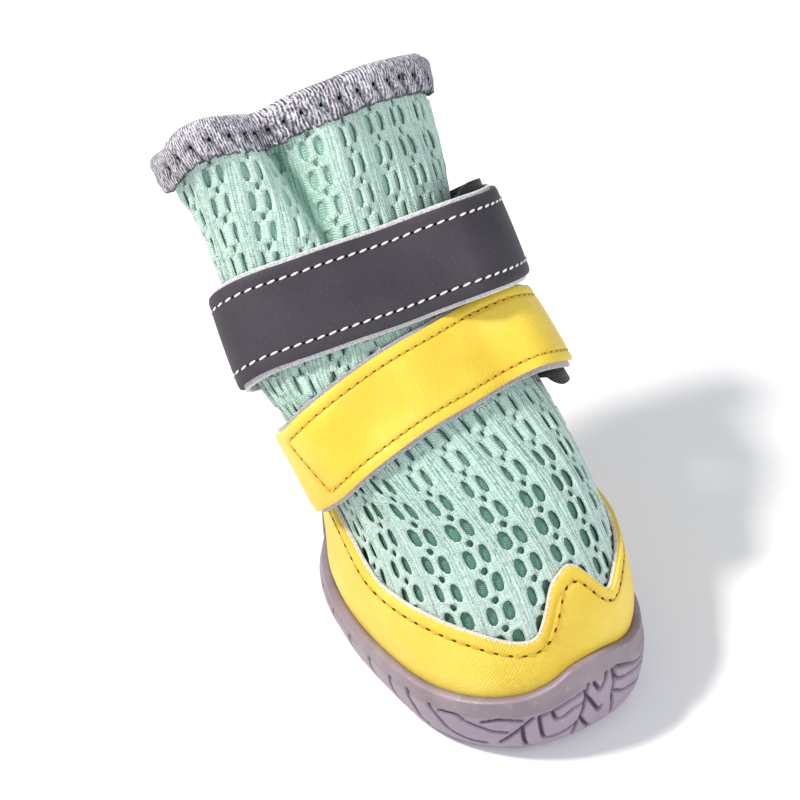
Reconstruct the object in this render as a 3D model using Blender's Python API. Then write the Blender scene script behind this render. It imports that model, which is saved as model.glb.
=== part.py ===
"""A soft dog boot: a mesh sock in a cupped rubber sole, closed by two hook-and-loop straps.

The boot stands on its sole with its toe towards -Y, its heel towards +Y and Z up from the floor.
Lengths are in metres and angles in degrees. An angle goes round the boot seen from above: 0 is
the middle of the toe, 90 the right side, 180 the heel and -90 the left side. A level climbs the
upper from 0 at the sole to TOP_LEVEL at the collar, and each whole level is a row of the tables.
"""
import math

import bmesh
import bpy
import numpy as np
from mathutils import Vector
from mathutils.bvhtree import BVHTree

# Main sizes of the upper
FOOT_LENGTH = 0.070
FOOT_WIDTH = 0.050
INSTEP_HEIGHT = 0.054
SHAFT_HEIGHT = 0.052
SHAFT_LEAN = 0.053
SHAFT_DEPTH = 0.036
COLLAR_WIDTH = 0.062
UPPER_WALL = 0.0016

# Clearances: between touching pieces, between curved ones, and under the straps
FIT = 0.0003
CURVE_FIT = 0.0005
STRAP_FIT = 0.0006

# Sole. The toe spring and the heel lift start at a share of the way from the boot's middle to
# its front and back, the arch lies at a share of FOOT_LENGTH, and the tread's chevrons reach a
# share of FOOT_WIDTH to each side. The outline follows the upper at OUTLINE_LEVEL, and the sides
# face the way that the upper does at SIDE_LEVEL. Side lugs are set out in degrees
SOLE_FLOOR = 0.0044
SOLE_REACH = 0.0034
SOLE_EDGE = 0.0016
LIP_THICKNESS = 0.0014
SIDE_SWELL = 0.0016
TOE_SPRING = 0.0030
HEEL_LIFT = 0.0010
ARCH_LIFT = 0.0009
ARCH_LENGTH = 0.015
TOE_SPRING_START = 0.56
HEEL_LIFT_START = 0.86
ARCH_MIDDLE = 0.165
OUTLINE_LEVEL = 0.45
SIDE_LEVEL = 0.90
GROOVE_WIDTH = 0.0016
GROOVE_DEPTH = 0.0013
GROOVE_FLARE = 1.5
LUG_PITCH = 0.0078
LUG_SWEEP = 0.0070
TREAD_HALF_WIDTH = 0.62
SIDE_LUG_ANGLES = range(44, 150, 13)

# Overlays and trim
INSOLE_THICKNESS = 0.0022
INSOLE_FLARE = 0.25
RAND_THICKNESS = 0.0013
QUARTER_THICKNESS = 0.0011
RAND_END_ANGLE = 125
QUARTER_GAP = 1.1
BINDING_DEPTH = 0.0066
BINDING_THICKNESS = 0.0012
BINDING_CROWN = 1.1
BINDING_ROUNDING = 0.3

# Straps
STRAP_THICKNESS = 0.0009
BACKING_THICKNESS = 0.0009
TAB_THICKNESS = 0.0010
ANKLE_STRAP_WIDTH = 0.0190
ANKLE_STRAP_CORNER = 0.0012
ANKLE_SLACK = 0.0065
INSTEP_STRAP_WIDTH = 0.0178
INSTEP_STRAP_CORNER = 0.0016
INSTEP_SLACK = 0.0042
BACKING_MARGIN = 0.0006
TAB_WIDTH = 0.0175
TAB_CORNER = 0.0055
ANKLE_SLACK_SPAN = (82, 74)
INSTEP_SLACK_SPAN = (84, 52)

# Foot sections. Columns: front y, back y (of FOOT_LENGTH), front z, back z (of INSTEP_HEIGHT),
# half width (of FOOT_WIDTH), where the section is widest, squareness, sideways shift (of
# FOOT_WIDTH), turn to the left
FOOT_SECTIONS = [
    (-0.450, 0.400, 0.050, 0.000, 0.430, 0.42, 2.40, 0.000, 0.0),
    (-0.515, 0.465, 0.245, 0.230, 0.496, 0.43, 2.30, 0.000, 0.0),
    (-0.490, 0.486, 0.430, 0.450, 0.504, 0.45, 2.15, 0.000, 0.0),
    (-0.405, 0.507, 0.617, 0.654, 0.502, 0.47, 2.05, 0.000, 0.0),
    (-0.255, 0.550, 0.820, 0.840, 0.508, 0.50, 2.00, -0.015, 0.0),
    (-0.057, 0.600, 1.000, 1.005, 0.520, 0.50, 2.00, -0.050, 2.0),
]

# Shaft sections. Columns: front y past the instep (of SHAFT_LEAN), depth (of SHAFT_DEPTH),
# front z, back z above the instep (of SHAFT_HEIGHT), half width (of COLLAR_WIDTH), where the
# section is widest, squareness, sideways shift (of COLLAR_WIDTH), turn to the left
SHAFT_SECTIONS = [
    (0.300, 1.000, 0.198, 0.198, 0.434, 0.50, 2.00, -0.068, 4.0),
    (0.566, 0.806, 0.448, 0.390, 0.420, 0.50, 2.00, -0.036, 6.0),
    (0.800, 0.640, 0.727, 0.563, 0.460, 0.50, 2.00, 0.004, 7.0),
    (1.000, 0.444, 1.000, 0.737, 0.505, 0.50, 2.00, 0.018, 8.0),
]
TOP_LEVEL = len(FOOT_SECTIONS) + len(SHAFT_SECTIONS) - 1

# Folds of the slack shaft. Columns: angle and level of the lower end, angle and level of the
# upper end, half width in degrees, depth (of SHAFT_DEPTH); a negative depth is a ridge
FOLDS = [
    (-6, 6.9, -25, 9.4, 9, 0.090),
    (-44, 7.6, -48, 9.5, 14, -0.034),
    (34, 7.4, 40, 9.5, 12, 0.036),
    (-84, 7.0, -80, 9.4, 12, 0.030),
    (150, 6.6, 158, 9.4, 16, 0.050),
    (-150, 6.6, -160, 9.4, 16, 0.050),
]

# Top edge of the rand and of the sole's lip, and both edges of the quarter. Columns: angle, level
RAND_TOP = [
    (-125, 4.30), (-113, 3.95), (-104, 3.05), (-92, 2.38), (-78, 2.33), (-62, 2.33), (-46, 2.26),
    (-35, 2.15), (-27, 2.10), (-20, 2.18), (-13, 2.58), (-7, 2.92), (-1, 3.05), (6, 3.08),
    (12, 2.80), (18, 2.42), (23, 2.24), (34, 2.36), (60, 2.36), (90, 2.38), (104, 3.05),
    (113, 3.95), (125, 4.30),
]
LIP_TOP = [
    (-180, 0.66), (-150, 0.66), (-120, 0.62), (-104, 0.62), (-90, 0.66), (-70, 0.74), (-55, 0.86),
    (-42, 0.97), (-30, 1.08), (-20, 1.24), (-10, 1.46), (0, 1.49), (10, 1.42), (22, 1.20),
    (34, 1.00), (48, 0.84), (64, 0.74), (90, 0.64), (120, 0.62), (150, 0.66), (180, 0.66),
]
QUARTER_TOP = [(125, 4.30), (150, 4.52), (180, 4.64)]
COVER_LEVEL = 0.10

# How far the sole stands out beyond the upper. Columns: angle, share of SOLE_REACH
SOLE_OUTLINE = [
    (-180, 1.00), (-150, 0.88), (-125, 0.65), (-105, 0.53), (-85, 0.59), (-65, 0.82), (-45, 1.00),
    (-30, 1.24), (-15, 1.62), (0, 1.85), (15, 1.97), (30, 1.79), (45, 1.32), (60, 1.00),
    (90, 0.82), (125, 0.76), (150, 0.88), (180, 1.00),
]

# Grooves of the sole's front and sides. Columns: angle, share of the side's height
CENTRE_GROOVES = [
    [(-15, 0.66), (-7, 0.40), (0, 0.12), (7, 0.40), (15, 0.66)],
    [(-6.5, 0.68), (0, 0.46), (6.5, 0.68)],
    [(172, 0.60), (180, 0.20), (188, 0.60)],
]
PAIRED_GROOVES = [
    [(21, 0.66), (17, 0.30), (14, 0.04)],
    [(38, 0.66), (29, 0.44), (25, 0.10)],
]
LUG_GROOVE = [(9, 0.66), (3, 0.42), (0, 0.10)]

# Strap routes along the middle of each strap. Columns: angle, level
ANKLE_ROUTE = [
    (96, 6.20), (70, 6.52), (35, 6.84), (0, 6.95), (-30, 6.93), (-65, 6.72), (-100, 6.24),
    (-140, 5.62), (-180, 5.32), (-230, 5.62),
]
ANKLE_TAB_ROUTE = [(42, 7.02), (72, 6.74), (100, 6.34), (126, 5.86), (148, 5.62)]
INSTEP_ROUTE = [
    (-113, 3.78), (-90, 4.50), (-57, 5.26), (-20, 5.72), (10, 5.82), (40, 5.68), (70, 5.14),
    (92, 4.62),
]
INSTEP_TAB_ROUTE = [(52, 5.20), (74, 4.82), (96, 4.34), (116, 3.92)]

# How a direction is read from the upper: the steps in angle and level
TURN_STEP = 1.5
LEVEL_STEP = 0.02
RIM_STEP = 0.3
FOLD_ONSET = 1.6

# Facets. The rings are TOE_CROWDING denser at the toe, and the rand's columns denser in front
AROUND = 40
TOE_CROWDING = 0.16
SHARP_ANGLE = 40
UPPER_ROWS = 18
TREAD_RINGS = (0.10, 0.30, 0.46, 0.62, 0.80)
SIDE_SHARES = (0.0, 0.33, 0.67, 0.92, 1.0)
CUP_SHARES = (1.0, 0.75, 0.5, 0.25, 0.0)
CHEVRON_POINTS = 9
RAND_ROWS = 6
RAND_FRONT = 40
RAND_FRONT_STEP = 4
RAND_SIDE_STEP = 9
QUARTER_COLUMNS = 19
QUARTER_ROWS = 7
STRAP_STEP = 0.0037
ROUTE_SAMPLES = 240
CORNER_BENDS = (0, 30, 60, 90)

# Rays cast down on what a strap lies on: their start, and where they stand across and along it
PROBE_HEIGHT = 0.020
PROBES = [(share, ahead) for share in (-1, -0.5, 0, 0.5, 1) for ahead in (-0.5, 0, 0.5)]

# Colours as the photograph shows them: red, green, blue, roughness
FINISHES = {
    "outsole": ((0.30, 0.25, 0.28), 0.45),
    "insole": ((0.10, 0.11, 0.11), 0.90),
    "upper": ((0.45, 0.72, 0.60), 0.85),
    "rand": ((0.86, 0.62, 0.09), 0.48),
    "heel_quarter": ((0.18, 0.19, 0.20), 0.85),
    "collar_binding": ((0.42, 0.42, 0.45), 0.90),
    "ankle_strap": ((0.11, 0.11, 0.12), 0.55),
    "ankle_strap_backing": ((0.50, 0.51, 0.50), 0.90),
    "ankle_hook_tab": ((0.012, 0.012, 0.014), 0.80),
    "instep_strap": ((0.86, 0.62, 0.09), 0.48),
    "instep_strap_backing": ((0.48, 0.47, 0.45), 0.90),
    "instep_hook_tab": ((0.012, 0.012, 0.014), 0.80),
}

RAND_OUTSIDE = CURVE_FIT + RAND_THICKNESS
SEAT = SOLE_FLOOR + FIT


def smooth_rows(table, position):
    """Reads a table of rows at a fractional row number along one smooth curve."""
    rows = np.asarray(table, float)
    last = len(rows) - 1
    low = int(min(max(math.floor(position), 0), last - 1))
    part = position - low
    start, end = rows[low], rows[low + 1]
    before = rows[low - 1] if low > 0 else 2 * start - end
    after = rows[low + 2] if low + 2 <= last else 2 * end - start
    return start + 0.5 * part * (
        end - before
        + part * (2 * before - 5 * start + 4 * end - after)
        + part * part * (3 * (start - end) + after - before)
    )


def along(table, x):
    """Reads the second column of a table smoothly at a value of its first column."""
    columns = np.asarray(table, float)
    order = columns[:, 0] if columns[0, 0] < columns[-1, 0] else -columns[:, 0]
    key = x if columns[0, 0] < columns[-1, 0] else -x
    low = int(np.clip(np.searchsorted(order, key) - 1, 0, len(order) - 2))
    part = float(np.clip((key - order[low]) / (order[low + 1] - order[low]), 0, 1))
    return float(smooth_rows(columns, low + part)[1])


def ease(share):
    """Goes from 0 to 1 with level ends."""
    share = min(max(share, 0.0), 1.0)
    return share * share * (3 - 2 * share)


def real_sections():
    """Turns the shares of both tables into lengths."""
    rows = []
    for front_y, back_y, front_z, back_z, half, wide, square, side, turn in FOOT_SECTIONS:
        rows.append((
            front_y * FOOT_LENGTH, SEAT + front_z * INSTEP_HEIGHT,
            back_y * FOOT_LENGTH, SEAT + back_z * INSTEP_HEIGHT,
            half * FOOT_WIDTH, wide, square, side * FOOT_WIDTH, turn,
        ))
    instep_y, instep_z = rows[-1][0], SEAT + INSTEP_HEIGHT
    for front_y, depth, front_z, back_z, half, wide, square, side, turn in SHAFT_SECTIONS:
        front = instep_y + front_y * SHAFT_LEAN
        rows.append((
            front, instep_z + front_z * SHAFT_HEIGHT,
            front + depth * SHAFT_DEPTH, instep_z + back_z * SHAFT_HEIGHT,
            half * COLLAR_WIDTH, wide, square, side * COLLAR_WIDTH, turn,
        ))
    return np.array(rows)


SECTIONS = real_sections()


def section_point(angle, level):
    """A point of the smooth last: a squared ellipse hung between the front and the back line."""
    front_y, front_z, back_y, back_z, half, wide, square, side, turn = smooth_rows(SECTIONS, level)
    forward, across = math.cos(math.radians(angle)), math.sin(math.radians(angle))
    reach = (abs(forward) ** square + abs(across) ** square) ** (-1 / square)
    forward, across = forward * reach, across * reach
    share = wide * (1 - forward) if forward > 0 else wide - (1 - wide) * forward
    x = half * across
    y = (share - 0.5) * (back_y - front_y)
    turned = math.radians(turn)
    return np.array((
        side + x * math.cos(turned) + y * math.sin(turned),
        (front_y + back_y) / 2 + y * math.cos(turned) - x * math.sin(turned),
        front_z + (back_z - front_z) * share,
    ))


def last_normal(angle, level):
    """The outward direction of the smooth last."""
    level = min(max(level, LEVEL_STEP), TOP_LEVEL - LEVEL_STEP)
    around = section_point(angle + TURN_STEP, level) - section_point(angle - TURN_STEP, level)
    upward = section_point(angle, level + LEVEL_STEP) - section_point(angle, level - LEVEL_STEP)
    normal = np.cross(around, upward)
    return normal / np.linalg.norm(normal)


def fold_depth(angle, level):
    """How far the folds push the cloth in."""
    depth = 0.0
    for low_angle, low_level, high_angle, high_level, half_width, share in FOLDS:
        part = (level - low_level) / (high_level - low_level)
        if part <= 0:
            continue
        middle = low_angle + (high_angle - low_angle) * part
        off = (angle - middle + 180) % 360 - 180
        ripple = math.exp(-((off / half_width) ** 2))
        depth += share * SHAFT_DEPTH * ease(part * FOLD_ONSET) * ripple
    return depth


def on_upper(angle, level, out=0.0):
    """A point of the upper's outer face, or out metres outside it."""
    normal = last_normal(angle, level)
    return section_point(angle, level) + normal * (out - fold_depth(angle, level))


def finish_of(name):
    """The Principled material of one piece."""
    colour, roughness = FINISHES[name]
    material = bpy.data.materials.new(name)
    material.use_nodes = True
    shader = material.node_tree.nodes["Principled BSDF"]
    shader.inputs["Base Color"].default_value = (*colour, 1.0)
    shader.inputs["Roughness"].default_value = roughness
    shader.inputs["Metallic"].default_value = 0.0
    material.diffuse_color = (*colour, 1.0)
    return material


def add_piece(name, points, faces):
    """Makes one named, closed and outward-facing object."""
    mesh = bpy.data.meshes.new(name)
    mesh.from_pydata([tuple(point) for point in points], [], faces)
    work = bmesh.new()
    work.from_mesh(mesh)
    wide = [face for face in work.faces if len(face.verts) > 3]
    bmesh.ops.triangulate(work, faces=wide)
    bmesh.ops.recalc_face_normals(work, faces=work.faces)
    work.to_mesh(mesh)
    work.free()
    mesh.shade_smooth()
    mesh.set_sharp_from_angle(angle=math.radians(SHARP_ANGLE))
    piece = bpy.data.objects.new(name, mesh)
    bpy.context.scene.collection.objects.link(piece)
    if name in FINISHES:
        mesh.materials.append(finish_of(name))
    return piece


def join_loops(loops, closed, capped=False):
    """Skins a list of equal rings. closed joins the last ring to the first one.

    The two halves of a ring are split along mirrored diagonals, so that both faces of a thin
    strip, and strips laid over each other, bend along the same lines.
    """
    size = len(loops[0])
    points = [point for loop in loops for point in loop]
    faces = []
    for row in range(len(loops) if closed else len(loops) - 1):
        here, there = row * size, (row + 1) % len(loops) * size
        for column in range(size):
            beside = (column + 1) % size
            a, b, c, d = here + column, here + beside, there + beside, there + column
            faces += [(a, b, c), (a, c, d)] if column < size // 2 else [(a, b, d), (b, c, d)]
    if capped:
        faces.append(tuple(range(size)))
        faces.append(tuple(len(points) - size + column for column in range(size)))
    return points, faces


def ring_angles():
    """Angles of one full turn, closer together at the toe."""
    turn = np.arange(AROUND) * 2 * math.pi / AROUND
    return np.degrees(turn - TOE_CROWDING * np.sin(turn))


def build_upper():
    """The mesh sock: an outer and an inner face joined at the collar and at the base."""
    angles = ring_angles()
    levels = np.linspace(0, TOP_LEVEL, UPPER_ROWS + 1)
    outer = [[on_upper(angle, level) for angle in angles] for level in levels]
    inner = [[on_upper(angle, level, -UPPER_WALL) for angle in angles] for level in levels]
    return add_piece("upper", *join_loops(outer + inner[::-1], closed=True))


def build_insole():
    """A foam sheet inside the upper, on the sole's floor."""
    inset = -(UPPER_WALL + 2 * FIT)
    angles = ring_angles()
    low = [on_upper(angle, 0.0, inset) for angle in angles]
    rise = np.array((0.0, 0.0, INSOLE_THICKNESS))
    high = []
    for point, angle in zip(low, angles):
        outward = last_normal(angle, 0.0) * np.array((1, 1, 0))
        high.append(point + rise + outward * INSOLE_THICKNESS * INSOLE_FLARE)
    return add_piece("insole", *join_loops([low, high], closed=False, capped=True))


def shell_patch(name, angles, top_at, inside, outside, rows):
    """A piece of cloth or leather lying over the upper, between two edges."""
    skins = []
    for out in (inside, outside):
        for angle in angles:
            top = top_at(angle)
            levels = np.linspace(COVER_LEVEL, top, rows + 1)
            skins.append([on_upper(angle, level, out) for level in levels])
    half = len(angles)
    loops = [skins[i] + skins[half + i][::-1] for i in range(half)]
    return add_piece(name, *join_loops(loops, closed=False, capped=True))


def build_rand():
    """The leather-look band, from one side of the heel round the toe to the other."""
    knots = [angle for angle, _ in RAND_TOP]
    angles = []
    for start, end in zip(knots, knots[1:]):
        in_front = abs(start + end) / 2 < RAND_FRONT
        steps = max(1, round((end - start) / (RAND_FRONT_STEP if in_front else RAND_SIDE_STEP)))
        angles += [start + (end - start) * i / steps for i in range(steps)]
    angles.append(knots[-1])
    return shell_patch(
        "rand", angles, lambda angle: along(RAND_TOP, angle), CURVE_FIT, RAND_OUTSIDE, RAND_ROWS,
    )


def build_quarter():
    """The woven panel that closes the heel between the ends of the rand."""
    start = RAND_END_ANGLE + QUARTER_GAP
    angles = np.linspace(start, 360 - start, QUARTER_COLUMNS)
    return shell_patch(
        "heel_quarter", angles, lambda angle: along(QUARTER_TOP, 180 - abs(180 - angle)),
        CURVE_FIT, CURVE_FIT + QUARTER_THICKNESS, QUARTER_ROWS,
    )


def build_binding():
    """The knitted tape folded over the collar edge."""
    loops = []
    for angle in ring_angles():
        rim = on_upper(angle, TOP_LEVEL)
        below = on_upper(angle, TOP_LEVEL - RIM_STEP)
        upward = (rim - below) / np.linalg.norm(rim - below)
        low_level = TOP_LEVEL - RIM_STEP * BINDING_DEPTH / np.linalg.norm(rim - below)
        normal = last_normal(angle, TOP_LEVEL)
        near, far = CURVE_FIT, CURVE_FIT + BINDING_THICKNESS
        crown, inset = upward * far * BINDING_CROWN, far * BINDING_ROUNDING
        loops.append([
            on_upper(angle, low_level, near),
            on_upper(angle, low_level, far),
            rim + normal * far,
            rim + normal * inset + crown,
            rim - normal * (UPPER_WALL + inset) + crown,
            rim - normal * (UPPER_WALL + far),
            on_upper(angle, low_level, -UPPER_WALL - far),
            on_upper(angle, low_level, -UPPER_WALL - near),
            rim - normal * (UPPER_WALL + near) + upward * near,
            rim + normal * near + upward * near,
        ])
    return add_piece("collar_binding", *join_loops(loops, closed=True))


def around_boot(table, angle):
    """Reads a table that goes once round the boot."""
    return along(table, (angle + 180) % 360 - 180)


def sole_reach(angle):
    """How far the sole stands out beyond the upper."""
    return SOLE_REACH * around_boot(SOLE_OUTLINE, angle)


def sole_bottom(y):
    """Height of the tread face: flat under heel and forefoot, sprung at the toe, arched between."""
    front, back = SECTIONS[1][0] - sole_reach(0), SECTIONS[1][2] + sole_reach(180)
    toe_start, heel_start = TOE_SPRING_START * front, HEEL_LIFT_START * back
    toe = max(0.0, (toe_start - y) / (toe_start - front))
    heel = max(0.0, (y - heel_start) / (back - heel_start))
    arch = ease(1 - abs(y - ARCH_MIDDLE * FOOT_LENGTH) / (ARCH_LENGTH / 2))
    return TOE_SPRING * toe ** 2 + HEEL_LIFT * heel ** 2 + ARCH_LIFT * arch


def lip_level(angle):
    """Level of the sole's top edge: high on the toe, low along the sides."""
    return around_boot(LIP_TOP, angle)


def sole_edge(angle, inward=0.0, height=0.0):
    """A point of the sole's outline near the floor, moved in and up."""
    base = section_point(angle, OUTLINE_LEVEL)
    outward = last_normal(angle, SIDE_LEVEL) * np.array((1, 1, 0))
    outward /= np.linalg.norm(outward)
    point = base + outward * (sole_reach(angle) - inward)
    point[2] = sole_bottom(point[1]) + height
    return point


def sole_side(angle, share):
    """The sole's outer side, from its lower edge at 0 to the top of the lip at 1."""
    low = sole_edge(angle, 0.0, SOLE_EDGE)
    high = on_upper(angle, lip_level(angle), RAND_OUTSIDE + CURVE_FIT + LIP_THICKNESS)
    outward = last_normal(angle, SIDE_LEVEL) * np.array((1, 1, 0))
    middle = (low + high) / 2 + outward / np.linalg.norm(outward) * SIDE_SWELL
    return low * (1 - share) ** 2 + middle * 2 * share * (1 - share) + high * share ** 2


def groove_bar(path, outward):
    """A closed bar along a path of points, from the groove's floor to outside the rubber."""
    loops = []
    for i, point in enumerate(path):
        ahead, behind = path[min(i + 1, len(path) - 1)], path[max(i - 1, 0)]
        across = np.cross(ahead - behind, outward[i])
        across *= GROOVE_WIDTH / 2 / np.linalg.norm(across)
        floor, top = -outward[i] * GROOVE_DEPTH, outward[i] * 2 * GROOVE_DEPTH
        loops.append([
            point + floor - across, point + floor + across,
            point + top + across * GROOVE_FLARE, point + top - across * GROOVE_FLARE,
        ])
    return join_loops(loops, closed=False, capped=True)


def side_grooves():
    """Slanting grooves of the sides and the nested V grooves of the toe and the heel."""
    halves = PAIRED_GROOVES + [
        [(start + angle, share) for angle, share in LUG_GROOVE] for start in SIDE_LUG_ANGLES
    ]
    routes = CENTRE_GROOVES + [
        [(side * angle, share) for angle, share in half] for side in (-1, 1) for half in halves
    ]
    bars = []
    for route in routes:
        path, outward = [], []
        for angle, share in route:
            path.append(sole_side(angle, share))
            outward.append(last_normal(angle, SIDE_LEVEL))
        bars.append(groove_bar(path, outward))
    return bars


def bottom_grooves():
    """Chevrons across the tread, from edge to edge, with their points towards the toe."""
    bars = []
    down = np.array((0.0, 0.0, -1.0))
    half = TREAD_HALF_WIDTH * FOOT_WIDTH
    for i in range(int(SECTIONS[0][0] / LUG_PITCH), int(SECTIONS[0][2] / LUG_PITCH) + 1):
        point_y = LUG_PITCH * (i + 0.5)
        path = []
        for x in np.linspace(-half, half, CHEVRON_POINTS):
            y = point_y + LUG_SWEEP * abs(x) / half
            path.append(np.array((x, y, sole_bottom(y))))
        bars.append(groove_bar(path, [down] * len(path)))
    return bars


def add_cutter(name, bars):
    """Joins separate bars into one wire-drawn cutter."""
    points, faces = [], []
    for bar_points, bar_faces in bars:
        start = len(points)
        points += bar_points
        faces += [tuple(start + corner for corner in face) for face in bar_faces]
    cutter = add_piece(name, points, faces)
    cutter.hide_render = True
    cutter.display_type = "WIRE"
    return cutter


def build_outsole():
    """The rubber cup: tread face, outer side, lip, inner side and floor, then its grooves."""
    angles = ring_angles()
    rings = []
    for share in TREAD_RINGS:
        ring = []
        for angle in angles:
            edge = sole_edge(angle, SOLE_EDGE)
            flat = np.array((edge[0] * share, edge[1] * share, 0.0))
            flat[2] = sole_bottom(flat[1])
            ring.append(flat)
        rings.append(ring)
    rings.append([sole_edge(angle, SOLE_EDGE) for angle in angles])
    rings.append([sole_edge(angle, SOLE_EDGE * 0.3, SOLE_EDGE * 0.3) for angle in angles])
    for share in SIDE_SHARES:
        rings.append([sole_side(angle, share) for angle in angles])
    inside = RAND_OUTSIDE + CURVE_FIT
    for share in CUP_SHARES:
        rings.append([on_upper(angle, lip_level(angle) * share, inside) for angle in angles])
    drop = np.array((0.0, 0.0, FIT))
    rings[-1] = [point - drop for point in rings[-1]]
    points, faces = join_loops(rings, closed=False)
    count = len(angles)
    for ring, start in ((rings[0], 0), (rings[-1], len(points) - count)):
        middle = np.mean(ring, axis=0)
        if start == 0:
            middle[2] = sole_bottom(middle[1])
        points.append(middle)
        hub = len(points) - 1
        faces += [(start + i, start + (i + 1) % count, hub) for i in range(count)]
    outsole = add_piece("outsole", points, faces)
    for name, bars in (("side grooves", side_grooves()), ("tread grooves", bottom_grooves())):
        cut = outsole.modifiers.new(name, "BOOLEAN")
        cut.operation = "DIFFERENCE"
        cut.object = add_cutter(name, bars)
    return outsole


def strap_stations(length, half, start_corner, end_corner):
    """Distances along a strap and its half width there, with round corners at both ends."""
    bends = [math.radians(bend) for bend in CORNER_BENDS]
    first = [
        (start_corner * (1 - math.cos(bend)), half - start_corner * (1 - math.sin(bend)))
        for bend in bends
    ]
    last = [
        (length - end_corner * (1 - math.cos(bend)), half - end_corner * (1 - math.sin(bend)))
        for bend in reversed(bends)
    ]
    free = length - start_corner - end_corner
    steps = max(2, round(free / STRAP_STEP))
    middle = [(start_corner + free * i / steps, half) for i in range(1, steps)]
    return first + middle + last


def lay_strap(route, width, corners, slack, pieces_under):
    """Lays a flat strip along its route, as low as the pieces under it allow.

    Returns a row for each station: its middle on the underside, the directions out of the boot
    and across the strip, and the half width.
    """
    finely = [smooth_rows(route, row) for row in np.linspace(0, len(route) - 1, ROUTE_SAMPLES)]
    places = [on_upper(angle, level, STRAP_FIT) for angle, level in finely]
    steps = [np.linalg.norm(there - here) for here, there in zip(places, places[1:])]
    walked = np.concatenate(([0.0], np.cumsum(steps)))
    stations = strap_stations(walked[-1], width / 2, *corners)

    def place_at(mark):
        mark = min(max(mark, 0.0), walked[-1])
        return (np.interp(mark, walked, [place[0] for place in finely]),
                np.interp(mark, walked, [place[1] for place in finely]))

    trees = [BVHTree.FromPolygons(
        [vertex.co for vertex in piece.data.vertices],
        [polygon.vertices for polygon in piece.data.polygons],
    ) for piece in pieces_under]
    frames, lifts = [], []
    for mark, half in stations:
        angle, level = place_at(mark)
        middle = on_upper(angle, level, STRAP_FIT)
        onward = on_upper(*place_at(mark + STRAP_STEP)) - on_upper(*place_at(mark - STRAP_STEP))
        onward /= np.linalg.norm(onward)
        normal = last_normal(angle, level)
        across = np.cross(normal, onward)
        across /= np.linalg.norm(across)
        height = 0.0
        for share, ahead in PROBES:
            above = middle + across * share * (width / 2 + BACKING_MARGIN) + normal * PROBE_HEIGHT
            above += onward * ahead * STRAP_STEP
            for tree in trees:
                hit = tree.ray_cast(Vector(above), Vector(-normal), 2 * PROBE_HEIGHT)
                if hit[3] is not None:
                    height = max(height, PROBE_HEIGHT - hit[3] + STRAP_FIT)
        lifts.append(max(height, slack(angle)))
        frames.append((middle, normal, across, half))
    highest = [max(lifts[max(i - 1, 0):i + 2]) for i in range(len(lifts))]
    laid = []
    for i, (middle, normal, across, half) in enumerate(frames):
        near = highest[max(i - 1, 0):i + 2]
        lift = max(sum(near) / len(near), highest[i])
        laid.append((middle + normal * lift, normal, across, half))
    return laid


def strip(name, laid, low, thickness, margin=0.0):
    """A strip of even thickness over a laid route, wider by a margin on each side."""
    loops = []
    for middle, normal, across, half in laid:
        side = across * (half + margin)
        under, over = normal * low, normal * (low + thickness)
        loops.append([
            middle - side + under, middle + side + under,
            middle + side + over, middle - side + over,
        ])
    return add_piece(name, *join_loops(loops, closed=False, capped=True))


def side_slack(amount, middle, reach):
    """How far a strap stands off round one side of the boot, by angle."""
    return lambda angle: amount * ease(1 - abs(angle - middle) / reach)


def build_closure(place, tab_route, strap_route, width, corner, slack, under):
    """One hook-and-loop closure: the hook tab, then the strap's backing and its face over it."""
    laid = lay_strap(tab_route, TAB_WIDTH, (TAB_CORNER, FIT), slack, under)
    tab = strip(place + "_hook_tab", laid, 0.0, TAB_THICKNESS)
    laid = lay_strap(strap_route, width, (corner, corner), slack, under + [tab])
    strip(place + "_strap_backing", laid, 0.0, BACKING_THICKNESS, BACKING_MARGIN)
    strip(place + "_strap", laid, BACKING_THICKNESS + FIT, STRAP_THICKNESS)


def main():
    for old in list(bpy.data.objects):
        bpy.data.objects.remove(old, do_unlink=True)
    upper = build_upper()
    build_insole()
    covers = [upper, build_rand(), build_quarter()]
    build_binding()
    build_outsole()
    build_closure(
        "ankle", ANKLE_TAB_ROUTE, ANKLE_ROUTE, ANKLE_STRAP_WIDTH, ANKLE_STRAP_CORNER,
        side_slack(ANKLE_SLACK, *ANKLE_SLACK_SPAN), covers,
    )
    build_closure(
        "instep", INSTEP_TAB_ROUTE, INSTEP_ROUTE, INSTEP_STRAP_WIDTH, INSTEP_STRAP_CORNER,
        side_slack(INSTEP_SLACK, *INSTEP_SLACK_SPAN), covers,
    )


main()
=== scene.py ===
# %% [markdown]
# # A soft dog boot
# This lesson dresses the plain solids of a dog boot: a knitted mesh sock in a cupped rubber
# sole, with a leather-look band round the foot and two hook-and-loop straps. Each sheet starts
# flat, as on a maker's cutting table, and is then pulled over the last.

import math

import bpy
import numpy as np
from mathutils import Matrix, Vector
from mathutils.bvhtree import BVHTree


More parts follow.
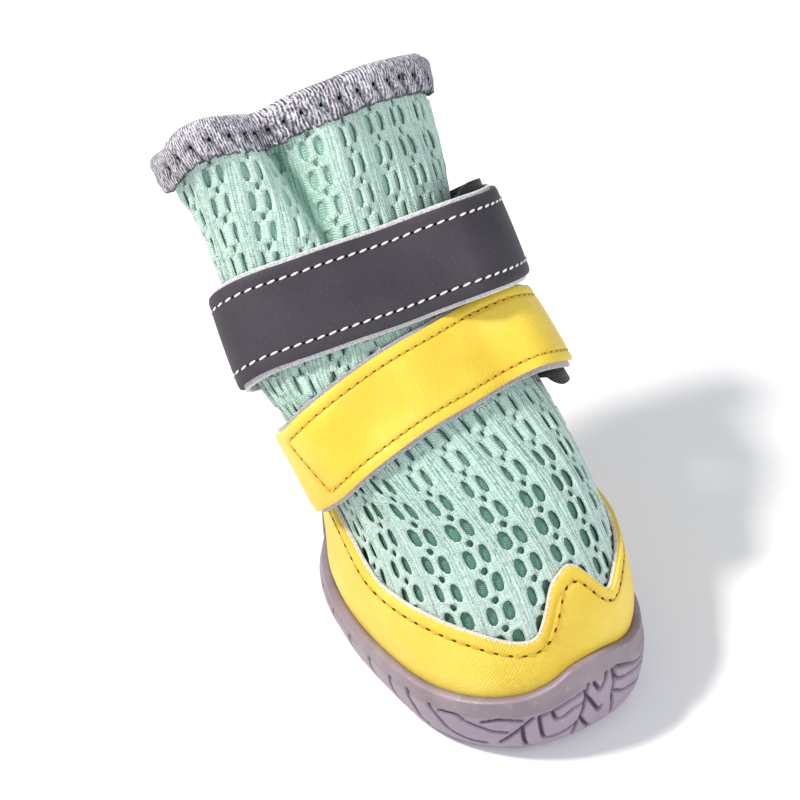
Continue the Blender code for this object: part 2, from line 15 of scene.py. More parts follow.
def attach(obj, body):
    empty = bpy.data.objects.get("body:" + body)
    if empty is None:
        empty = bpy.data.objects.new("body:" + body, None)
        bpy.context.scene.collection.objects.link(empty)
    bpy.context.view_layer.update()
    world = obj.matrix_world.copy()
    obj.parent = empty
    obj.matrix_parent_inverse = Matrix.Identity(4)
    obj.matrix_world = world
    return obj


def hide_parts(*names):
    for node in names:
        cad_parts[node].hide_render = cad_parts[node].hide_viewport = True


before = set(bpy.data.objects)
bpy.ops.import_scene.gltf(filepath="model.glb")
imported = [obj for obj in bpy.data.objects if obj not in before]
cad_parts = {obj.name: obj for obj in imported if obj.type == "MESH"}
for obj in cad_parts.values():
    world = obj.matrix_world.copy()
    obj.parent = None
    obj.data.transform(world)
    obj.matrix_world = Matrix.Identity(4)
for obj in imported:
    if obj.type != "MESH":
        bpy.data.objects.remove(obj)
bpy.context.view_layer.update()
print("solids:", sorted(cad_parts))

# %% [markdown]
# ## The last
# The last is the foot form that a boot is made on. Its sections hang between a front line and a
# back line, and a smooth curve runs through the rows of the tables. An angle goes round the boot
# seen from above: 0 is the middle of the toe, 90 the right side, 180 the heel. A level climbs
# from 0 at the sole to 9 at the collar. The same tables shaped the solids, so whatever is laid
# on this surface fits them. Sharp creases, pleats and the slump of the collar are added here.

# %% Sizes of the last, in metres
FOOT_LENGTH = 0.070
FOOT_WIDTH = 0.050
INSTEP_HEIGHT = 0.054
SHAFT_HEIGHT = 0.052
SHAFT_LEAN = 0.053
SHAFT_DEPTH = 0.036
COLLAR_WIDTH = 0.062
UPPER_WALL = 0.0016
FIT = 0.0003
CURVE_FIT = 0.0005
STRAP_FIT = 0.0006
SOLE_FLOOR = 0.0044
SEAT = SOLE_FLOOR + FIT

# Columns: front y, back y (of FOOT_LENGTH), front z, back z (of INSTEP_HEIGHT), half width (of
# FOOT_WIDTH), where the section is widest, squareness, sideways shift (of FOOT_WIDTH), turn
FOOT_SECTIONS = [
    (-0.450, 0.400, 0.050, 0.000, 0.430, 0.42, 2.40, 0.000, 0.0),
    (-0.515, 0.465, 0.245, 0.230, 0.496, 0.43, 2.30, 0.000, 0.0),
    (-0.490, 0.486, 0.430, 0.450, 0.504, 0.45, 2.15, 0.000, 0.0),
    (-0.405, 0.507, 0.617, 0.654, 0.502, 0.47, 2.05, 0.000, 0.0),
    (-0.255, 0.550, 0.820, 0.840, 0.508, 0.50, 2.00, -0.015, 0.0),
    (-0.057, 0.600, 1.000, 1.005, 0.520, 0.50, 2.00, -0.050, 2.0),
]
# Columns: front y past the instep (of SHAFT_LEAN), depth (of SHAFT_DEPTH), front z, back z above
# the instep (of SHAFT_HEIGHT), half width (of COLLAR_WIDTH), widest, squareness, shift, turn
SHAFT_SECTIONS = [
    (0.300, 1.000, 0.198, 0.198, 0.434, 0.50, 2.00, -0.068, 4.0),
    (0.566, 0.806, 0.448, 0.390, 0.420, 0.50, 2.00, -0.036, 6.0),
    (0.800, 0.640, 0.727, 0.563, 0.460, 0.50, 2.00, 0.004, 7.0),
    (1.000, 0.444, 1.000, 0.737, 0.505, 0.50, 2.00, 0.018, 8.0),
]
TOP_LEVEL = len(FOOT_SECTIONS) + len(SHAFT_SECTIONS) - 1

# Columns: angle and level of a fold's low end, of its high end, half width, depth (of
# SHAFT_DEPTH)
FOLDS = [
    (-6, 6.9, -25, 9.4, 9, 0.090),
    (-44, 7.6, -48, 9.5, 14, -0.034),
    (34, 7.4, 40, 9.5, 12, 0.036),
    (-84, 7.0, -80, 9.4, 12, 0.030),
    (150, 6.6, 158, 9.4, 16, 0.050),
    (-150, 6.6, -160, 9.4, 16, 0.050),
]
FOLD_ONSET = 2.2

# Creases that the solids leave out, in the same columns. The first is the sharp bottom of the
# deep fold in front, and the next two are the ridges beside it
CREASES = [
    (-8, 6.7, -24, 9.1, 3.6, 0.115),
    (-22, 6.8, -38, 9.2, 8.5, -0.058),
    (7, 6.9, -6, 9.2, 8.5, -0.046),
    (-62, 7.2, -58, 8.8, 3.5, 0.020),
    (18, 7.2, 14, 8.9, 4.0, 0.014),
    (52, 7.0, 60, 9.0, 5.0, 0.018),
    (-108, 6.8, -100, 9.0, 5.0, 0.020),
    (118, 6.6, 112, 9.0, 6.0, 0.016),
    (180, 6.2, 176, 8.9, 6.0, 0.020),
]
CREASE_FADE = 0.50
CREASE_FADE_START = 8.5
CREASE_FADE_LENGTH = 0.5

# How the soft collar slumps. Columns: angle, then the rise or the way out at the rim, in
# millimetres
SLUMP_RISE = [
    (-180, 0.0), (-130, -1.0), (-100, -2.4), (-82, -2.2), (-70, 0.4), (-60, 2.4), (-47, 2.8),
    (-33, 0.8), (-22, -1.0), (-10, 0.8), (4, 1.2), (20, 1.6), (41, 0.4), (55, -0.6), (72, -2.0),
    (95, -2.2), (125, -0.8), (150, 0.0), (180, 0.0),
]
SLUMP_OUT = [
    (-180, 0.0), (-120, 0.0), (-80, 0.4), (-60, 0.9), (-45, 1.0), (-33, 0.2), (-22, -1.2),
    (-10, 0.2), (4, 0.5), (30, 0.2), (52, -1.2), (70, -2.4), (95, -2.4), (125, -1.0), (150, 0.0),
    (180, 0.0),
]
SLUMP_START = 7.3

# Where the straps gather the cloth into pleats. Columns: middle level, half height, share of
# the depth
GATHERS = [(6.15, 0.42, 1.0), (7.55, 0.35, 0.7), (5.15, 0.25, 0.5)]
GATHER_PITCH = 6.1
GATHER_DEPTH = 0.00034


# %% Reading the tables
def smooth_rows(table, position):
    """Reads rows of a table at fractional row numbers, along one smooth curve."""
    rows = np.asarray(table, float)
    rows = np.vstack((2 * rows[0] - rows[1], rows, 2 * rows[-1] - rows[-2]))
    position = np.asarray(position, float)
    low = np.clip(np.floor(position).astype(int), 0, len(rows) - 4)
    part = (position - low)[..., None]
    before, start, end, after = (rows[low + i] for i in range(4))
    return start + 0.5 * part * (
        end - before
        + part * (2 * before - 5 * start + 4 * end - after)
        + part * part * (3 * (start - end) + after - before)
    )


def along(table, x):
    """Reads the second column of a table smoothly at values of its first column."""
    keys = np.array([row[0] for row in table], float)
    x = np.asarray(x, float)
    low = np.clip(np.searchsorted(keys, x) - 1, 0, len(keys) - 2)
    part = np.clip((x - keys[low]) / (keys[low + 1] - keys[low]), 0, 1)
    return smooth_rows(table, low + part)[..., 1]


def ease(share):
    """Goes from 0 to 1 with level ends."""
    share = np.clip(share, 0.0, 1.0)
    return share * share * (3 - 2 * share)


def unit(vectors):
    """The same directions, one metre long."""
    return vectors / np.linalg.norm(vectors, axis=-1, keepdims=True)


# %% The surface of the last
def real_sections():
    """Turns the shares of both tables into lengths."""
    rows = []
    for front_y, back_y, front_z, back_z, half, wide, square, side, turn in FOOT_SECTIONS:
        rows.append((
            front_y * FOOT_LENGTH, SEAT + front_z * INSTEP_HEIGHT,
            back_y * FOOT_LENGTH, SEAT + back_z * INSTEP_HEIGHT,
            half * FOOT_WIDTH, wide, square, side * FOOT_WIDTH, turn,
        ))
    instep_y, instep_z = rows[-1][0], SEAT + INSTEP_HEIGHT
    for front_y, depth, front_z, back_z, half, wide, square, side, turn in SHAFT_SECTIONS:
        front = instep_y + front_y * SHAFT_LEAN
        rows.append((
            front, instep_z + front_z * SHAFT_HEIGHT,
            front + depth * SHAFT_DEPTH, instep_z + back_z * SHAFT_HEIGHT,
            half * COLLAR_WIDTH, wide, square, side * COLLAR_WIDTH, turn,
        ))
    return np.array(rows)


SECTIONS = real_sections()


def section_point(angle, level):
    """Points of the smooth last: a squared ellipse between the front and the back line."""
    angle, level = np.broadcast_arrays(np.asarray(angle, float), np.asarray(level, float))
    row = np.moveaxis(smooth_rows(SECTIONS, level), -1, 0)
    front_y, front_z, back_y, back_z, half, wide, square, side, turn = row
    forward, across = np.cos(np.radians(angle)), np.sin(np.radians(angle))
    reach = (abs(forward) ** square + abs(across) ** square) ** (-1 / square)
    forward, across = forward * reach, across * reach
    share = np.where(forward > 0, wide * (1 - forward), wide - (1 - wide) * forward)
    x, y = half * across, (share - 0.5) * (back_y - front_y)
    turned = np.radians(turn)
    return np.stack((
        side + x * np.cos(turned) + y * np.sin(turned),
        (front_y + back_y) / 2 + y * np.cos(turned) - x * np.sin(turned),
        front_z + (back_z - front_z) * share,
    ), axis=-1)


def last_normal(angle, level):
    """The outward directions of the smooth last."""
    level = np.clip(level, 0.02, TOP_LEVEL - 0.02)
    around = section_point(np.add(angle, 1.5), level) - section_point(np.subtract(angle, 1.5), level)
    upward = section_point(angle, level + 0.02) - section_point(angle, level - 0.02)
    return unit(np.cross(around, upward))


def trough(angle, level, folds):
    """How far folds push the cloth in, as a share of the shaft's depth."""
    depth = np.zeros(np.broadcast(angle, level).shape)
    for low_angle, low_level, high_angle, high_level, half_width, share in folds:
        part = (level - low_level) / (high_level - low_level)
        middle = low_angle + (high_angle - low_angle) * part
        off = (angle - middle + 180) % 360 - 180
        dip = np.exp(-((off / half_width) ** 2))
        depth = depth + np.where(part > 0, share * ease(part * FOLD_ONSET) * dip, 0.0)
    return depth


def on_upper(angle, level, out=0.0):
    """Points of the upper's outer face, or out metres outside it."""
    angle, level = np.asarray(angle, float), np.asarray(level, float)
    sunk = trough(angle, level, FOLDS) * SHAFT_DEPTH
    share = ease((level - SLUMP_START) / (TOP_LEVEL - SLUMP_START)) / 1000
    beside = (angle + 180) % 360 - 180
    lift = (out - sunk + along(SLUMP_OUT, beside) * share)[..., None]
    point = section_point(angle, level) + last_normal(angle, level) * lift
    point[..., 2] += along(SLUMP_RISE, beside) * share
    return point


def gather(angle, level):
    """Small pleats where a strap bunches the cloth: between the straps and just above them."""
    bunched = sum(share * np.exp(-((level - middle) / half) ** 2) for middle, half, share in GATHERS)
    wander = angle + 2.2 * np.sin(np.radians(angle * 3)) + 1.6 * np.sin(level * 3.1)
    pleat = np.sin(2 * math.pi * wander / GATHER_PITCH)
    return GATHER_DEPTH * bunched * pleat


def on_cloth(angle, level, out=0.0):
    """Points of the knit's face with its small creases and pleats, or out metres outside it."""
    angle, level = np.asarray(angle, float), np.asarray(level, float)
    eased = 1 - CREASE_FADE * ease((level - CREASE_FADE_START) / CREASE_FADE_LENGTH)
    fine = gather(angle, level) - trough(angle, level, CREASES) * SHAFT_DEPTH * eased
    return on_upper(angle, level, out + fine)


print("collar front:", np.round(on_upper(0, TOP_LEVEL) * 1000, 1), "mm")

# %% [markdown]
# ## Helpers
# Every sheet begins as a primitive grid. What is cut out of it is cut in edit mode while it is
# flat, as cloth is, and then all its points are placed on the last at once. Stitches and needle
# holes are copies of one small ball, which is stretched in edit mode.

# %% Helpers for flat pieces
def pick_none():
    """Leaves edit mode with nothing selected."""
    if bpy.context.object and bpy.context.object.mode != "OBJECT":
        bpy.ops.object.mode_set(mode="OBJECT")
    bpy.ops.object.select_all(action="DESELECT")


def take(piece):
    """Makes one piece the only selected and the active one."""
    pick_none()
    piece.select_set(True)
    bpy.context.view_layer.objects.active = piece


def start_sheet(name, columns, rows, width=1.0, height=1.0):
    """A flat sheet of columns by rows, with one corner at the origin."""
    pick_none()
    bpy.ops.mesh.primitive_grid_add(x_subdivisions=columns, y_subdivisions=rows, size=1)
    piece = bpy.context.object
    piece.name = piece.data.name = name
    bpy.ops.object.mode_set(mode="EDIT")
    bpy.ops.mesh.select_all(action="SELECT")
    bpy.ops.transform.translate(value=(0.5, 0.5, 0))
    bpy.ops.object.mode_set(mode="OBJECT")
    set_points(piece, points_of(piece) * (width, height, 1))
    return piece


def points_of(piece):
    """All points of a mesh as rows of x, y, z."""
    flat = np.empty(len(piece.data.vertices) * 3, np.float32)
    piece.data.vertices.foreach_get("co", flat)
    return flat.reshape(-1, 3).astype(float)


def set_points(piece, points):
    """Moves all points of a mesh."""
    piece.data.vertices.foreach_set("co", np.asarray(points, np.float32).ravel())
    piece.data.update()


def select_faces(piece, chosen):
    """Enters edit mode with the chosen faces selected, given as one flag for each face."""
    take(piece)
    bpy.context.tool_settings.mesh_select_mode = (False, False, True)
    bpy.ops.object.mode_set(mode="EDIT")
    bpy.ops.mesh.select_all(action="DESELECT")
    bpy.ops.object.mode_set(mode="OBJECT")
    piece.data.polygons.foreach_set("select", np.asarray(chosen, bool))
    bpy.ops.object.mode_set(mode="EDIT")


def face_middles(piece):
    """The middle of each face."""
    flat = np.empty(len(piece.data.polygons) * 3, np.float32)
    piece.data.polygons.foreach_get("center", flat)
    return flat.reshape(-1, 3).astype(float)


def write_uv(piece, uv):
    """Stores a flat place for each point, in millimetres, so that a pattern follows the cloth."""
    layer = piece.data.uv_layers.active or piece.data.uv_layers.new(name="UVMap")
    corners = np.empty(len(piece.data.loops), np.int32)
    piece.data.loops.foreach_get("vertex_index", corners)
    layer.data.foreach_set("uv", np.asarray(uv, np.float32)[corners].ravel())


def write_share(piece, name, values):
    """Writes a share from 0 to 1 on every point, for its finish to read."""
    shares = piece.data.attributes.new(name, "FLOAT", "POINT")
    shares.data.foreach_set("value", np.clip(values, 0, 1).astype(np.float32))


def finish_edges(piece, thickness=None, offset=-1.0, bevel=None, levels=0):
    """Gives a sheet its thickness, rounds its edges and smooths it, with modifiers applied."""
    take(piece)
    if thickness:
        wall = piece.modifiers.new("wall", "SOLIDIFY")
        wall.thickness, wall.offset = thickness, offset
        bpy.ops.object.modifier_apply(modifier="wall")
    if bevel:
        edge = piece.modifiers.new("edge", "BEVEL")
        edge.width, edge.segments, edge.limit_method = bevel, 2, "ANGLE"
        edge.angle_limit = math.radians(50)
        bpy.ops.object.modifier_apply(modifier="edge")
    if levels:
        smooth = piece.modifiers.new("smooth", "SUBSURF")
        smooth.levels = smooth.render_levels = levels
        bpy.ops.object.modifier_apply(modifier="smooth")
    bpy.ops.object.shade_smooth()


def weld(piece, distance=0.00002):
    """Joins points that lie on each other and turns all faces outwards."""
    take(piece)
    bpy.context.tool_settings.mesh_select_mode = (True, False, False)
    bpy.ops.object.mode_set(mode="EDIT")
    bpy.ops.mesh.select_all(action="SELECT")
    bpy.ops.mesh.remove_doubles(threshold=distance)
    bpy.ops.mesh.normals_make_consistent(inside=False)
    bpy.ops.object.mode_set(mode="OBJECT")


def face_outwards(piece, outward):
    """Flips a sheet whose faces look against the outward direction at their middles."""
    flat = np.empty(len(piece.data.polygons) * 3, np.float32)
    piece.data.polygons.foreach_get("normal", flat)
    if (flat.reshape(-1, 3) * outward(face_middles(piece))).sum() < 0:
        take(piece)
        bpy.ops.object.mode_set(mode="EDIT")
        bpy.ops.mesh.select_all(action="SELECT")
        bpy.ops.mesh.flip_normals()
        bpy.ops.object.mode_set(mode="OBJECT")


# %% Helpers for laying and sewing
MIDDLE_HEIGHTS = (0.0, 0.045, 0.105)
MIDDLE_Y = (0.0, 0.010, 0.058)
MIDDLE_LOWERED = 0.85
STITCH_SIDES, STITCH_RINGS = 8, 6
WAY_STEP = 0.0003


def from_axis(middles):
    """A rough outward direction: away from a lower point of the line up the boot's middle."""
    axis_y = np.interp(middles[:, 2], MIDDLE_HEIGHTS, MIDDLE_Y)
    inside = np.stack((np.zeros(len(middles)), axis_y, middles[:, 2] * MIDDLE_LOWERED), axis=1)
    return middles - inside


def tree_of(piece):
    """A search tree of a piece's faces."""
    return BVHTree.FromPolygons(
        [vertex.co for vertex in piece.data.vertices],
        [polygon.vertices for polygon in piece.data.polygons],
    )


def snapped(line, away, tree, reach):
    """A line's points moved straight in or out onto a piece, where rays find it."""
    line = line.copy()
    for i, (point, out) in enumerate(zip(line, away)):
        found = tree.ray_cast(Vector(point + out * reach), Vector(-out), 2 * reach)
        if found[0] is not None:
            line[i] = np.array(found[0])
    return line


def sew(name, spots, length, width, height):
    """Copies one small rounded stitch to every spot: a point, the way on and the way out."""
    pick_none()
    bpy.ops.mesh.primitive_uv_sphere_add(segments=STITCH_SIDES, ring_count=STITCH_RINGS, radius=0.5)
    first = bpy.context.object
    bpy.ops.object.mode_set(mode="EDIT")
    bpy.ops.mesh.select_all(action="SELECT")
    bpy.ops.transform.resize(value=(length, width, height))
    bpy.ops.object.mode_set(mode="OBJECT")
    bpy.ops.object.shade_smooth()
    copies = []
    for point, onward, out in spots:
        copy = first.copy()
        copy.data = first.data.copy()
        side = np.cross(out, onward)
        turned = Matrix(np.stack((onward, side, out), axis=1).tolist()).to_4x4()
        copy.matrix_world = Matrix.Translation(Vector(point)) @ turned
        bpy.context.scene.collection.objects.link(copy)
        copies.append(copy)
    bpy.data.objects.remove(first, do_unlink=True)
    pick_none()
    for copy in copies:
        copy.select_set(True)
    bpy.context.view_layer.objects.active = copies[0]
    bpy.ops.object.join()
    piece = bpy.context.object
    piece.name = piece.data.name = name
    bpy.ops.object.transform_apply(location=True, rotation=True, scale=True)
    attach(piece, "root")
    report(piece)
    return piece


def walk_line(line, out, pitch, start=0.0, stop=None):
    """Marks at an even pitch along a line: the point, the way on and the way out at each."""
    walked = np.concatenate(([0], np.cumsum(np.linalg.norm(np.diff(line, axis=0), axis=1))))
    stop = walked[-1] if stop is None else min(stop, walked[-1])
    count = max(1, round((stop - start) / pitch))
    marks = start + (np.arange(count) + 0.5) * (stop - start) / count

    def read(values, mark):
        return np.array([np.interp(mark, walked, values[:, k]) for k in range(3)])

    spots = []
    for mark in marks:
        onward = unit(read(line, mark + WAY_STEP) - read(line, mark - WAY_STEP))
        away = read(out, mark)
        away = unit(away - onward * (away @ onward))
        spots.append((read(line, mark), onward, away))
    return spots


def half_way(spots):
    """Spots in the gaps between neighbouring ones."""
    return [
        ((a[0] + b[0]) / 2, unit(a[1] + b[1]), unit(a[2] + b[2])) for a, b in zip(spots, spots[1:])
    ]


def moved(spots, out):
    """The same spots moved in or out."""
    return [(point + away * out, onward, away) for point, onward, away in spots]


def slanted(spots, angle):
    """The same spots with each stitch turned a little across the seam."""
    turn = math.radians(angle)
    return [
        (point, unit(onward * math.cos(turn) + np.cross(away, onward) * math.sin(turn)), away)
        for point, onward, away in spots
    ]


def report(piece):
    """Prints a piece's name and size."""
    faces = sum(len(polygon.vertices) - 2 for polygon in piece.data.polygons)
    points = points_of(piece) * 1000
    size = points.max(axis=0) - points.min(axis=0)
    print(piece.name, faces, "triangles,", np.round(size, 1), "mm")


# %% [markdown]
# ## The knit
# The sock is a spacer mesh: an open face knit over a plain one. Its holes come in pairs of long
# ovals with a small round hole between one pair and the next, in columns with plain ribs
# between them. One tile of that pattern is cut from a small grid, arrays repeat it into a flat
# cloth, and the cloth is pulled over the last with its columns along the boot. Real holes are
# worth their faces here, because light and shade fall through them.

# %% Sizes of the knit
WALES = 18
WALE_WIDTH = 0.0088
COURSE = 0.0063
COURSES = 22
WALE_START = 8.0 / 360
NET_THICKNESS = 0.00050
LINING_DEPTH = 0.00105
OVAL = (0.00175, 0.0, 0.00115, 0.00210)
DOT = (0.0, COURSE / 2, 0.00060, 0.00080)
TILE_HOLES = (OVAL, (-OVAL[0], *OVAL[1:]), DOT, (0, -DOT[1], *DOT[2:]))

# What is kept of a hole's half width and half height where its rim is rounded
OVAL_CORNER = (0.60, 0.86)
OVAL_SHOULDER = (0.95, 1.0)
DOT_CORNER = (1.0, 0.70)
DOT_SIDE = (1.38, 1.0)

# Lines of the tile's own grid, in metres from its middle, and how the thread swells at each
TILE_X = (-0.0044, -0.00385, -0.0033, -0.0029, -0.00175, -0.0006, 0.0,
          0.0006, 0.00175, 0.0029, 0.0033, 0.00385, 0.0044)
TILE_Y = (-0.00315, -0.00235, -0.0021, -0.00105, 0.0, 0.00105, 0.0021, 0.00235, 0.00315)
SWELL = ((0.0, 0.00022), (0.0006, -0.00018), (0.0029, -0.00018), (0.0033, 0.00018),
         (0.00385, 0.0), (0.0044, 0.00006))
RIM_SINK = 0.00026


def hole_parts(points):
    """For points of the cloth: distance from the nearest hole's middle, as shares of its size."""
    x = (points[:, 0] + WALE_WIDTH / 2) % WALE_WIDTH - WALE_WIDTH / 2
    y = (points[:, 1] + COURSE / 2) % COURSE - COURSE / 2
    best = np.full(len(points), 1e9)
    middle = np.zeros((len(points), 2))
    parts = np.zeros((len(points), 2))
    for centre_x, centre_y, half_x, half_y in TILE_HOLES:
        across, down = (x - centre_x) / half_x, (y - centre_y) / half_y
        size = np.maximum(abs(across), abs(down))
        nearer = size < best
        best = np.where(nearer, size, best)
        offset = np.stack((x - centre_x, y - centre_y), axis=1)
        middle = np.where(nearer[:, None], offset, middle)
        parts = np.where(nearer[:, None], np.stack((across, down), axis=1), parts)
    return best, middle, parts


# %% One tile of the open knit
net = start_sheet("knit_net", len(TILE_X) - 1, len(TILE_Y) - 1, len(TILE_X) - 1, len(TILE_Y) - 1)
cells = np.rint(points_of(net)).astype(int)
set_points(net, np.stack((
    np.take(TILE_X, cells[:, 0]), np.take(TILE_Y, cells[:, 1]), np.zeros(len(cells)),
), axis=1))
select_faces(net, hole_parts(face_middles(net))[0] < 1)
bpy.ops.mesh.delete(type="FACE")
bpy.ops.object.mode_set(mode="OBJECT")

# The corners of each hole come in, which turns the rectangles into ovals and dots
points = points_of(net)
size, from_middle, parts = hole_parts(points)
rim = abs(size - 1) < 0.01
is_dot = abs(from_middle[:, 1]) < DOT[3] * 1.01
is_dot &= (abs(points[:, 1]) > OVAL[3] * 1.02)
at_side = rim & (abs(abs(parts[:, 0]) - 1) < 0.01)
corner = at_side & (abs(abs(parts[:, 1]) - 1) < 0.01)
shoulder = at_side & ~corner & (abs(parts[:, 1]) > 0.1)
keep = np.ones((len(points), 2))
keep[corner & ~is_dot] = OVAL_CORNER
keep[shoulder & ~is_dot] = OVAL_SHOULDER
keep[corner & is_dot] = DOT_CORNER
keep[at_side & ~corner & is_dot] = DOT_SIDE
points[:, :2] += np.where(rim[:, None], from_middle * (keep - 1), 0.0)
points[:, 2] = np.interp(abs(points[:, 0]), *zip(*SWELL))
points[rim, 2] = -RIM_SINK
set_points(net, points)
print("tile:", len(net.data.polygons), "faces")

# %% The flat cloth
take(net)
for name, count, step in (("round", WALES, (WALE_WIDTH, 0, 0)), ("down", COURSES, (0, -COURSE, 0))):
    repeat = net.modifiers.new(name, "ARRAY")
    repeat.count = count
    repeat.use_relative_offset = False
    repeat.use_constant_offset = True
    repeat.constant_offset_displace = step
    repeat.use_merge_vertices = True
    repeat.merge_threshold = 0.00002
    bpy.ops.object.modifier_apply(modifier=name)
print("flat cloth:", len(net.data.polygons), "faces")

# %% [markdown]
# The columns of the knit run straight up the foot and are gathered evenly round the shaft. So
# each column's angle is read from a table, and its rows lie at an even distance along the cloth
# from the collar, as they do in the piece of fabric.

# %% Pulling cloth over the last
LEVEL_STEPS = 90
TURN_STEPS = 144
REACH = COURSE * COURSES
REACH_STEPS = 280
COLUMNS_STRAIGHT = 5
COLUMNS_EVEN = 8


def read_grid(grid, row, column):
    """Reads a table of numbers between its rows and columns."""
    row = np.clip(row, 0, grid.shape[0] - 1.001)
    column = np.clip(column, 0, grid.shape[1] - 1.001)
    low_row, low_column = row.astype(int), column.astype(int)
    down, over = row - low_row, column - low_column
    return (
        grid[low_row, low_column] * (1 - down) * (1 - over)
        + grid[low_row + 1, low_column] * down * (1 - over)
        + grid[low_row, low_column + 1] * (1 - down) * over
        + grid[low_row + 1, low_column + 1] * down * over
    )


def column_tables():
    """Angle by turn and level, and level by turn and distance down from the collar."""
    levels = np.linspace(0, TOP_LEVEL, LEVEL_STEPS + 1)
    turns = np.linspace(0, 1, TURN_STEPS + 1)
    fine = np.linspace(-180, 180, 361)
    ring = on_upper(fine[None, :], levels[:, None])
    walked = np.cumsum(np.linalg.norm(np.diff(ring, axis=1), axis=2), axis=1)
    walked = np.concatenate((np.zeros((len(levels), 1)), walked), axis=1)
    angles = np.empty((len(turns), len(levels)))
    for i, level in enumerate(levels):
        toe, whole = walked[i, 180], walked[i, -1]
        left = 0.5 * walked[i, :181] / toe
        right = 0.5 + 0.5 * (walked[i, 181:] - toe) / (whole - toe)
        gathered = np.interp(turns, np.concatenate((left, right)), fine)
        mix = ease((level - COLUMNS_STRAIGHT) / (COLUMNS_EVEN - COLUMNS_STRAIGHT))
        angles[:, i] = gathered * mix + (turns * 360 - 180) * (1 - mix)
    lines = on_upper(angles, levels[None, :])
    steps = np.linalg.norm(np.diff(lines, axis=1), axis=2)[:, ::-1]
    down = np.concatenate((np.zeros((len(turns), 1)), np.cumsum(steps, axis=1)), axis=1)
    reach = np.linspace(0, REACH, REACH_STEPS + 1)
    depths = np.array([np.interp(reach, row, levels[::-1], right=-1) for row in down])
    return angles, depths


ANGLES, DEPTHS = column_tables()


def cloth_place(x, y):
    """Angle and level of places on the flat cloth, x round the boot and y down from the collar."""
    turn = (x / (WALES * WALE_WIDTH) + WALE_START) % 1.0
    level = read_grid(DEPTHS, turn * TURN_STEPS, -y / REACH * REACH_STEPS)
    angle = read_grid(ANGLES, turn * TURN_STEPS, np.clip(level, 0, TOP_LEVEL) / TOP_LEVEL * LEVEL_STEPS)
    return angle, level


# %% How the holes stand open
HOLES_OPEN = 0.36
OPENED_AT_TOE = 0.60
OPENED_ON_SHAFT = 0.26
SHUT_AT_SIDES = 0.20
LEAST_OPEN = 0.30


def openness(angle, level):
    """How wide the holes stand open: full over the toe, pulled shut near the straps."""
    toe = ease((5.1 - level) / 1.5)
    shaft = ease((level - 7.0) / 1.0)
    side = ease((abs(angle) - 35) / 55)
    share = HOLES_OPEN + OPENED_AT_TOE * toe + OPENED_ON_SHAFT * shaft - SHUT_AT_SIDES * side
    return np.clip(share, LEAST_OPEN, 1.0)


def unevenness(x, y):
    """Each hole's own small difference in width, and the way the columns wander."""
    column, row = np.rint(x / WALE_WIDTH), np.rint(y / COURSE)
    width = 1 + 0.12 * np.sin(12.9 * column + 7.3 * row) + 0.08 * np.sin(4.1 * row + 2.3 * column)
    wander = 0.00026 * np.sin(y / 0.0041 + 1.7 * column) + 0.00014 * np.sin(x / 0.0013 + row)
    return width, wander


# %% Covers over the sock, as levels
RAND_TOP = [
    (-125, 4.30), (-113, 3.95), (-104, 3.05), (-92, 2.38), (-78, 2.33), (-62, 2.33), (-46, 2.26),
    (-35, 2.15), (-27, 2.10), (-20, 2.18), (-13, 2.58), (-7, 2.92), (-1, 3.05), (6, 3.08),
    (12, 2.80), (18, 2.42), (23, 2.24), (34, 2.36), (60, 2.36), (90, 2.38), (104, 3.05),
    (113, 3.95), (125, 4.30),
]
LIP_TOP = [
    (-180, 0.66), (-150, 0.66), (-120, 0.62), (-104, 0.62), (-90, 0.66), (-70, 0.74), (-55, 0.86),
    (-42, 0.97), (-30, 1.08), (-20, 1.24), (-10, 1.46), (0, 1.49), (10, 1.42), (22, 1.20),
    (34, 1.00), (48, 0.84), (64, 0.74), (90, 0.64), (120, 0.62), (150, 0.66), (180, 0.66),
]
QUARTER_TOP = [(125, 4.30), (150, 4.52), (180, 4.64)]


def cover_top(angle):
    """Level up to which the band or the heel panel hides the sock."""
    heel = along(QUARTER_TOP, abs(angle))
    return np.where(abs(angle) < 125, along(RAND_TOP, angle), heel)


# %% The open knit on the last
CORD_REACH = 0.00385
CORD_FADE = 0.00055
DEEP_CREASE = 0.085
COVERED_LEVELS = 0.6
flat = points_of(net)
size, from_middle, _ = hole_parts(flat)
angle, level = cloth_place(flat[:, 0], flat[:, 1] - COURSE / 2)
at_rim = flat[:, 2] < -0.99 * RIM_SINK
width, wander = unevenness(flat[:, 0], flat[:, 1])
narrowed = from_middle[:, 0] * (1 - openness(angle, level) * width)
flat_x = flat[:, 0] + wander - np.where(at_rim, narrowed, 0.0)
angle, level = cloth_place(flat_x, flat[:, 1] - COURSE / 2)
write_uv(net, np.stack((flat[:, 0], flat[:, 1]), axis=1) * 1000)
beside = abs((flat[:, 0] + WALE_WIDTH / 2) % WALE_WIDTH - WALE_WIDTH / 2)
write_share(net, "cord", (CORD_REACH - beside) / CORD_FADE)
# how deep each point lies in a crease, which the finish reads to paint shade there
write_share(net, "fold", trough(angle, level, CREASES) / DEEP_CREASE)
shown = level > cover_top(angle) - COVERED_LEVELS
placed = on_cloth(angle, np.clip(level, 0, TOP_LEVEL), flat[:, 2])
set_points(net, placed)
keep = np.array([all(shown[i] for i in polygon.vertices) for polygon in net.data.polygons])
select_faces(net, ~keep)
bpy.ops.mesh.delete(type="FACE")
bpy.ops.object.mode_set(mode="OBJECT")
weld(net)
face_outwards(net, from_axis)
finish_edges(net, thickness=NET_THICKNESS)
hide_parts("upper")
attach(net, "root")
report(net)

# %% [markdown]
# ## The plain knit under it
# Behind the holes of the real mesh shows a second, plain knit of the same yarn. It could be cut
# as flat cloth too, but no holes are cut in it, so a plain grid is laid straight on the last.
# Along with its place, a sheet can get shares on its points, which its finish reads later.

